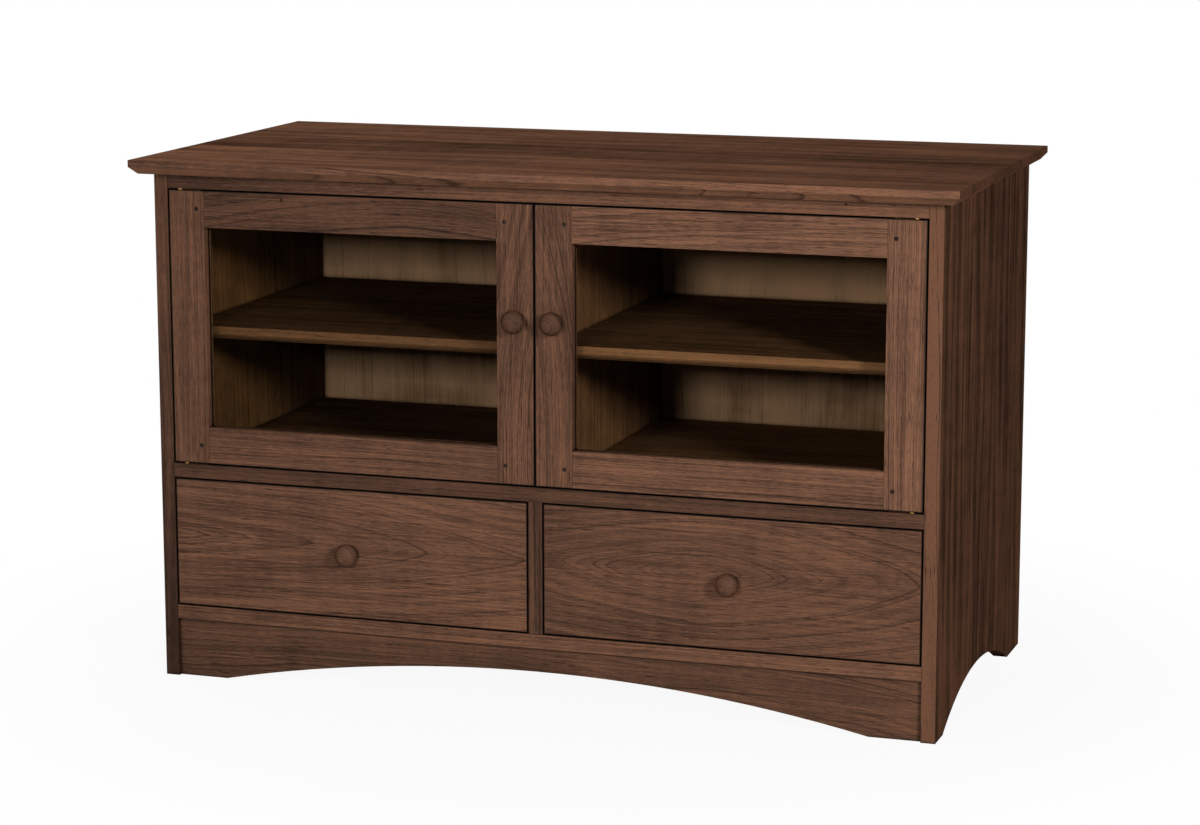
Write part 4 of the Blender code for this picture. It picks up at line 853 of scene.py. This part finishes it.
class CONSOLE_OT_catch_plates(bpy.types.Operator):
    """Steel strike plates let into the meeting stiles, and the pole pieces of the catch that they meet"""
    bl_idname = "console.catch_plates"
    bl_label = "Fit the catch plates"

    def execute(self, context):
        steel = zinc_plated_steel("zinc_plated_steel")
        low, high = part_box("door_catch")
        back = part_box("door_left_knob_stile")[1].y
        middle = (low.z + high.z) / 2
        margin = 3 * MM
        depth = 1 * MM
        half_plate = 5 * MM
        half_pole = 0.7 * MM
        poles = bmesh.new()
        for side, hand in SIDES:
            stile_edge = min(abs(corner.x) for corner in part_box(f"door_{hand}_knob_stile"))
            near, far = sorted((side * (stile_edge + margin), side * (high.x - margin)))
            plate = bmesh.new()
            bar(plate, (near, back - depth, middle - half_plate),
                (far, back + 0.08 * MM, middle + half_plate), 0.3 * MM)
            slotted_head(plate, ((near + far) / 2, back + 0.12 * MM, middle), (0, 1, 0), 2.2 * MM,
                         1.2 * MM, 0.6)
            finished(f"strike_plate_{hand}", plate, steel, f"{hand}_door")
            for rise in (-2.2 * MM, 2.2 * MM):
                bar(poles, (near + 2 * MM, low.y - 0.15 * MM, middle + rise - half_pole),
                    (far - 2 * MM, low.y + depth, middle + rise + half_pole), 0.15 * MM)
        finished("catch_pole_pieces", poles, steel, "case")
        return {"FINISHED"}


class CONSOLE_OT_back_brads(bpy.types.Operator):
    """Small brads that hold the back panel to the partition, the rail, the floor and the bottom"""
    bl_idname = "console.back_brads"
    bl_label = "Nail the back panel"

    def execute(self, context):
        count = context.scene.console_fittings.brads
        low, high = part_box("back_panel")
        margin = 30 * MM
        step = (high.x - low.x - 2 * margin) / (count - 1)
        places = []
        for node in ("top_back_rail", "cabinet_floor", "case_bottom"):
            foot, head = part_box(node)
            places += [(low.x + margin + step * number, (foot.z + head.z) / 2) for number in range(count)]
        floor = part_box("cabinet_floor")[1].z
        step = (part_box("centre_partition")[1].z - floor) / 5
        places += [(0, floor + step * number) for number in range(1, 5)]
        mesh = bmesh.new()
        radius = 1.1 * MM
        profile = [(0, -3 * MM), (radius * 0.6, -3 * MM), (radius, -0.2 * MM), (radius * 0.9, 0.15 * MM),
                   (0, 0.2 * MM)]
        for across, height in places:
            turn(mesh, profile, (across, high.y, height), (0, 1, 0), 12)
        finished("back_panel_brads", mesh, bpy.data.materials["brushed_brass"], "case")
        return {"FINISHED"}


class CONSOLE_OT_stage(bpy.types.Operator):
    """Pale floor, soft studio light and the camera"""
    bl_idname = "console.stage"
    bl_label = "Set the stage"

    def execute(self, context):
        scene = context.scene
        stage = scene.console_stage
        self.make_floor(scene, stage)
        self.make_room(scene, stage)
        middle = (Vector(cad_bounds[0]) + Vector(cad_bounds[1])) / 2
        for (name, place, size), power in zip(LAMPS, (stage.front, stage.key, stage.top)):
            lamp = bpy.data.lights.new(name, "AREA")
            lamp.shape = "RECTANGLE"
            lamp.size, lamp.size_y = size
            lamp.energy = power
            light = bpy.data.objects.new(name, lamp)
            light.location = place
            light.rotation_euler = (middle - Vector(place)).to_track_quat("-Z", "Y").to_euler()
            scene.collection.objects.link(light)
        self.make_camera(scene, stage)
        scene.view_settings.view_transform = "Standard"
        return {"FINISHED"}

    def make_floor(self, scene, stage):
        """Pale floor that turns into the white of the room away from the console, and keeps its shadow."""
        mesh = bmesh.new()
        bmesh.ops.create_circle(mesh, cap_ends=True, segments=96, radius=FLOOR_RADIUS)
        data = bpy.data.meshes.new("floor")
        mesh.to_mesh(data)
        mesh.free()
        floor = bpy.data.objects.new("floor", data)
        scene.collection.objects.link(floor)
        material, tree = new_material("pale_floor")
        here = add(tree, "TexCoord").outputs["Object"]
        away = add(tree, "VectorMath", [here], operation="LENGTH").outputs["Value"]
        white = add(tree, "MapRange", [away, FADE_FROM, FADE_TO, WHITE_SHARE, 1],
                    interpolation_type="SMOOTHSTEP")
        share = add(tree, "Math", [white, self.seen(tree)], operation="MULTIPLY")
        lit = add(tree, "BsdfDiffuse", {"Color": stage.floor[:]})
        plain = add(tree, "Emission", {"Color": WHITE, "Strength": 1})
        mixed = add(tree, "MixShader", [share, lit, plain])
        add(tree, "OutputMaterial", {"Surface": mixed})
        dress(floor, material)

    def seen(self, tree):
        """One for what the camera sees, straight, mirrored or through glass."""
        ray = add(tree, "LightPath").outputs
        straight = add(tree, "Math", [ray["Is Camera Ray"], ray["Is Glossy Ray"]], operation="MAXIMUM")
        return add(tree, "Math", [straight, ray["Is Transmission Ray"]], operation="MAXIMUM")

    def make_room(self, scene, stage):
        """White room to look at, dimmer as a light."""
        world = bpy.data.worlds.new("room")
        world.use_nodes = True
        tree = world.node_tree
        tree.nodes.clear()
        dim = add(tree, "Background", {"Color": WHITE, "Strength": stage.room})
        white = add(tree, "Background", {"Color": WHITE, "Strength": 1})
        mixed = add(tree, "MixShader", [self.seen(tree), dim, white])
        add(tree, "OutputWorld", {"Surface": mixed})
        scene.world = world

    def make_camera(self, scene, stage):
        """Camera at the angle of the photograph."""
        data = bpy.data.cameras.new("camera")
        data.lens = stage.lens
        data.sensor_width = SENSOR_WIDTH
        camera = bpy.data.objects.new("camera", data)
        camera.location = CAMERA_PLACE
        forward = Vector((-math.sin(YAW) * math.cos(PITCH), math.cos(YAW) * math.cos(PITCH),
                          math.sin(PITCH)))
        right = Vector((math.cos(YAW), math.sin(YAW), 0))
        upward = right.cross(forward)
        right, upward = (right * math.cos(ROLL) + upward * math.sin(ROLL),
                         upward * math.cos(ROLL) - right * math.sin(ROLL))
        camera.rotation_euler = Matrix((right, upward, -forward)).transposed().to_euler()
        scene.collection.objects.link(camera)
        scene.camera = camera


OPERATORS = (
    CONSOLE_OT_finish_case, CONSOLE_OT_finish_doors, CONSOLE_OT_finish_drawers,
    CONSOLE_OT_finish_fittings, CONSOLE_OT_knobs, CONSOLE_OT_pegs, CONSOLE_OT_hinge_screws,
    CONSOLE_OT_catch_plates, CONSOLE_OT_back_brads, CONSOLE_OT_stage,
)


class CONSOLE_PT_panel(bpy.types.Panel):
    """Steps of the console and the values that they use"""
    bl_idname = "CONSOLE_PT_panel"
    bl_label = "Media Console"
    bl_space_type = "VIEW_3D"
    bl_region_type = "UI"
    bl_category = "Console"

    def draw(self, context):
        layout = self.layout
        for operator in OPERATORS:
            layout.operator(operator.bl_idname)
        for name, group in GROUPS.items():
            box = layout.box()
            for value in group.__annotations__:
                box.prop(getattr(context.scene, name), value)


CLASSES = (*GROUPS.values(), *OPERATORS, CONSOLE_PT_panel)


def register():
    for item in CLASSES:
        bpy.utils.register_class(item)
    for name, group in GROUPS.items():
        setattr(bpy.types.Scene, name, PointerProperty(type=group))


def unregister():
    for name in GROUPS:
        delattr(bpy.types.Scene, name)
    for item in reversed(CLASSES):
        bpy.utils.unregister_class(item)


def main():
    """Registers the add-on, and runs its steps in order."""
    register()
    for operator in OPERATORS:
        getattr(bpy.ops.console, operator.bl_idname.split(".")[1])()


if __name__ == "__main__":
    main()
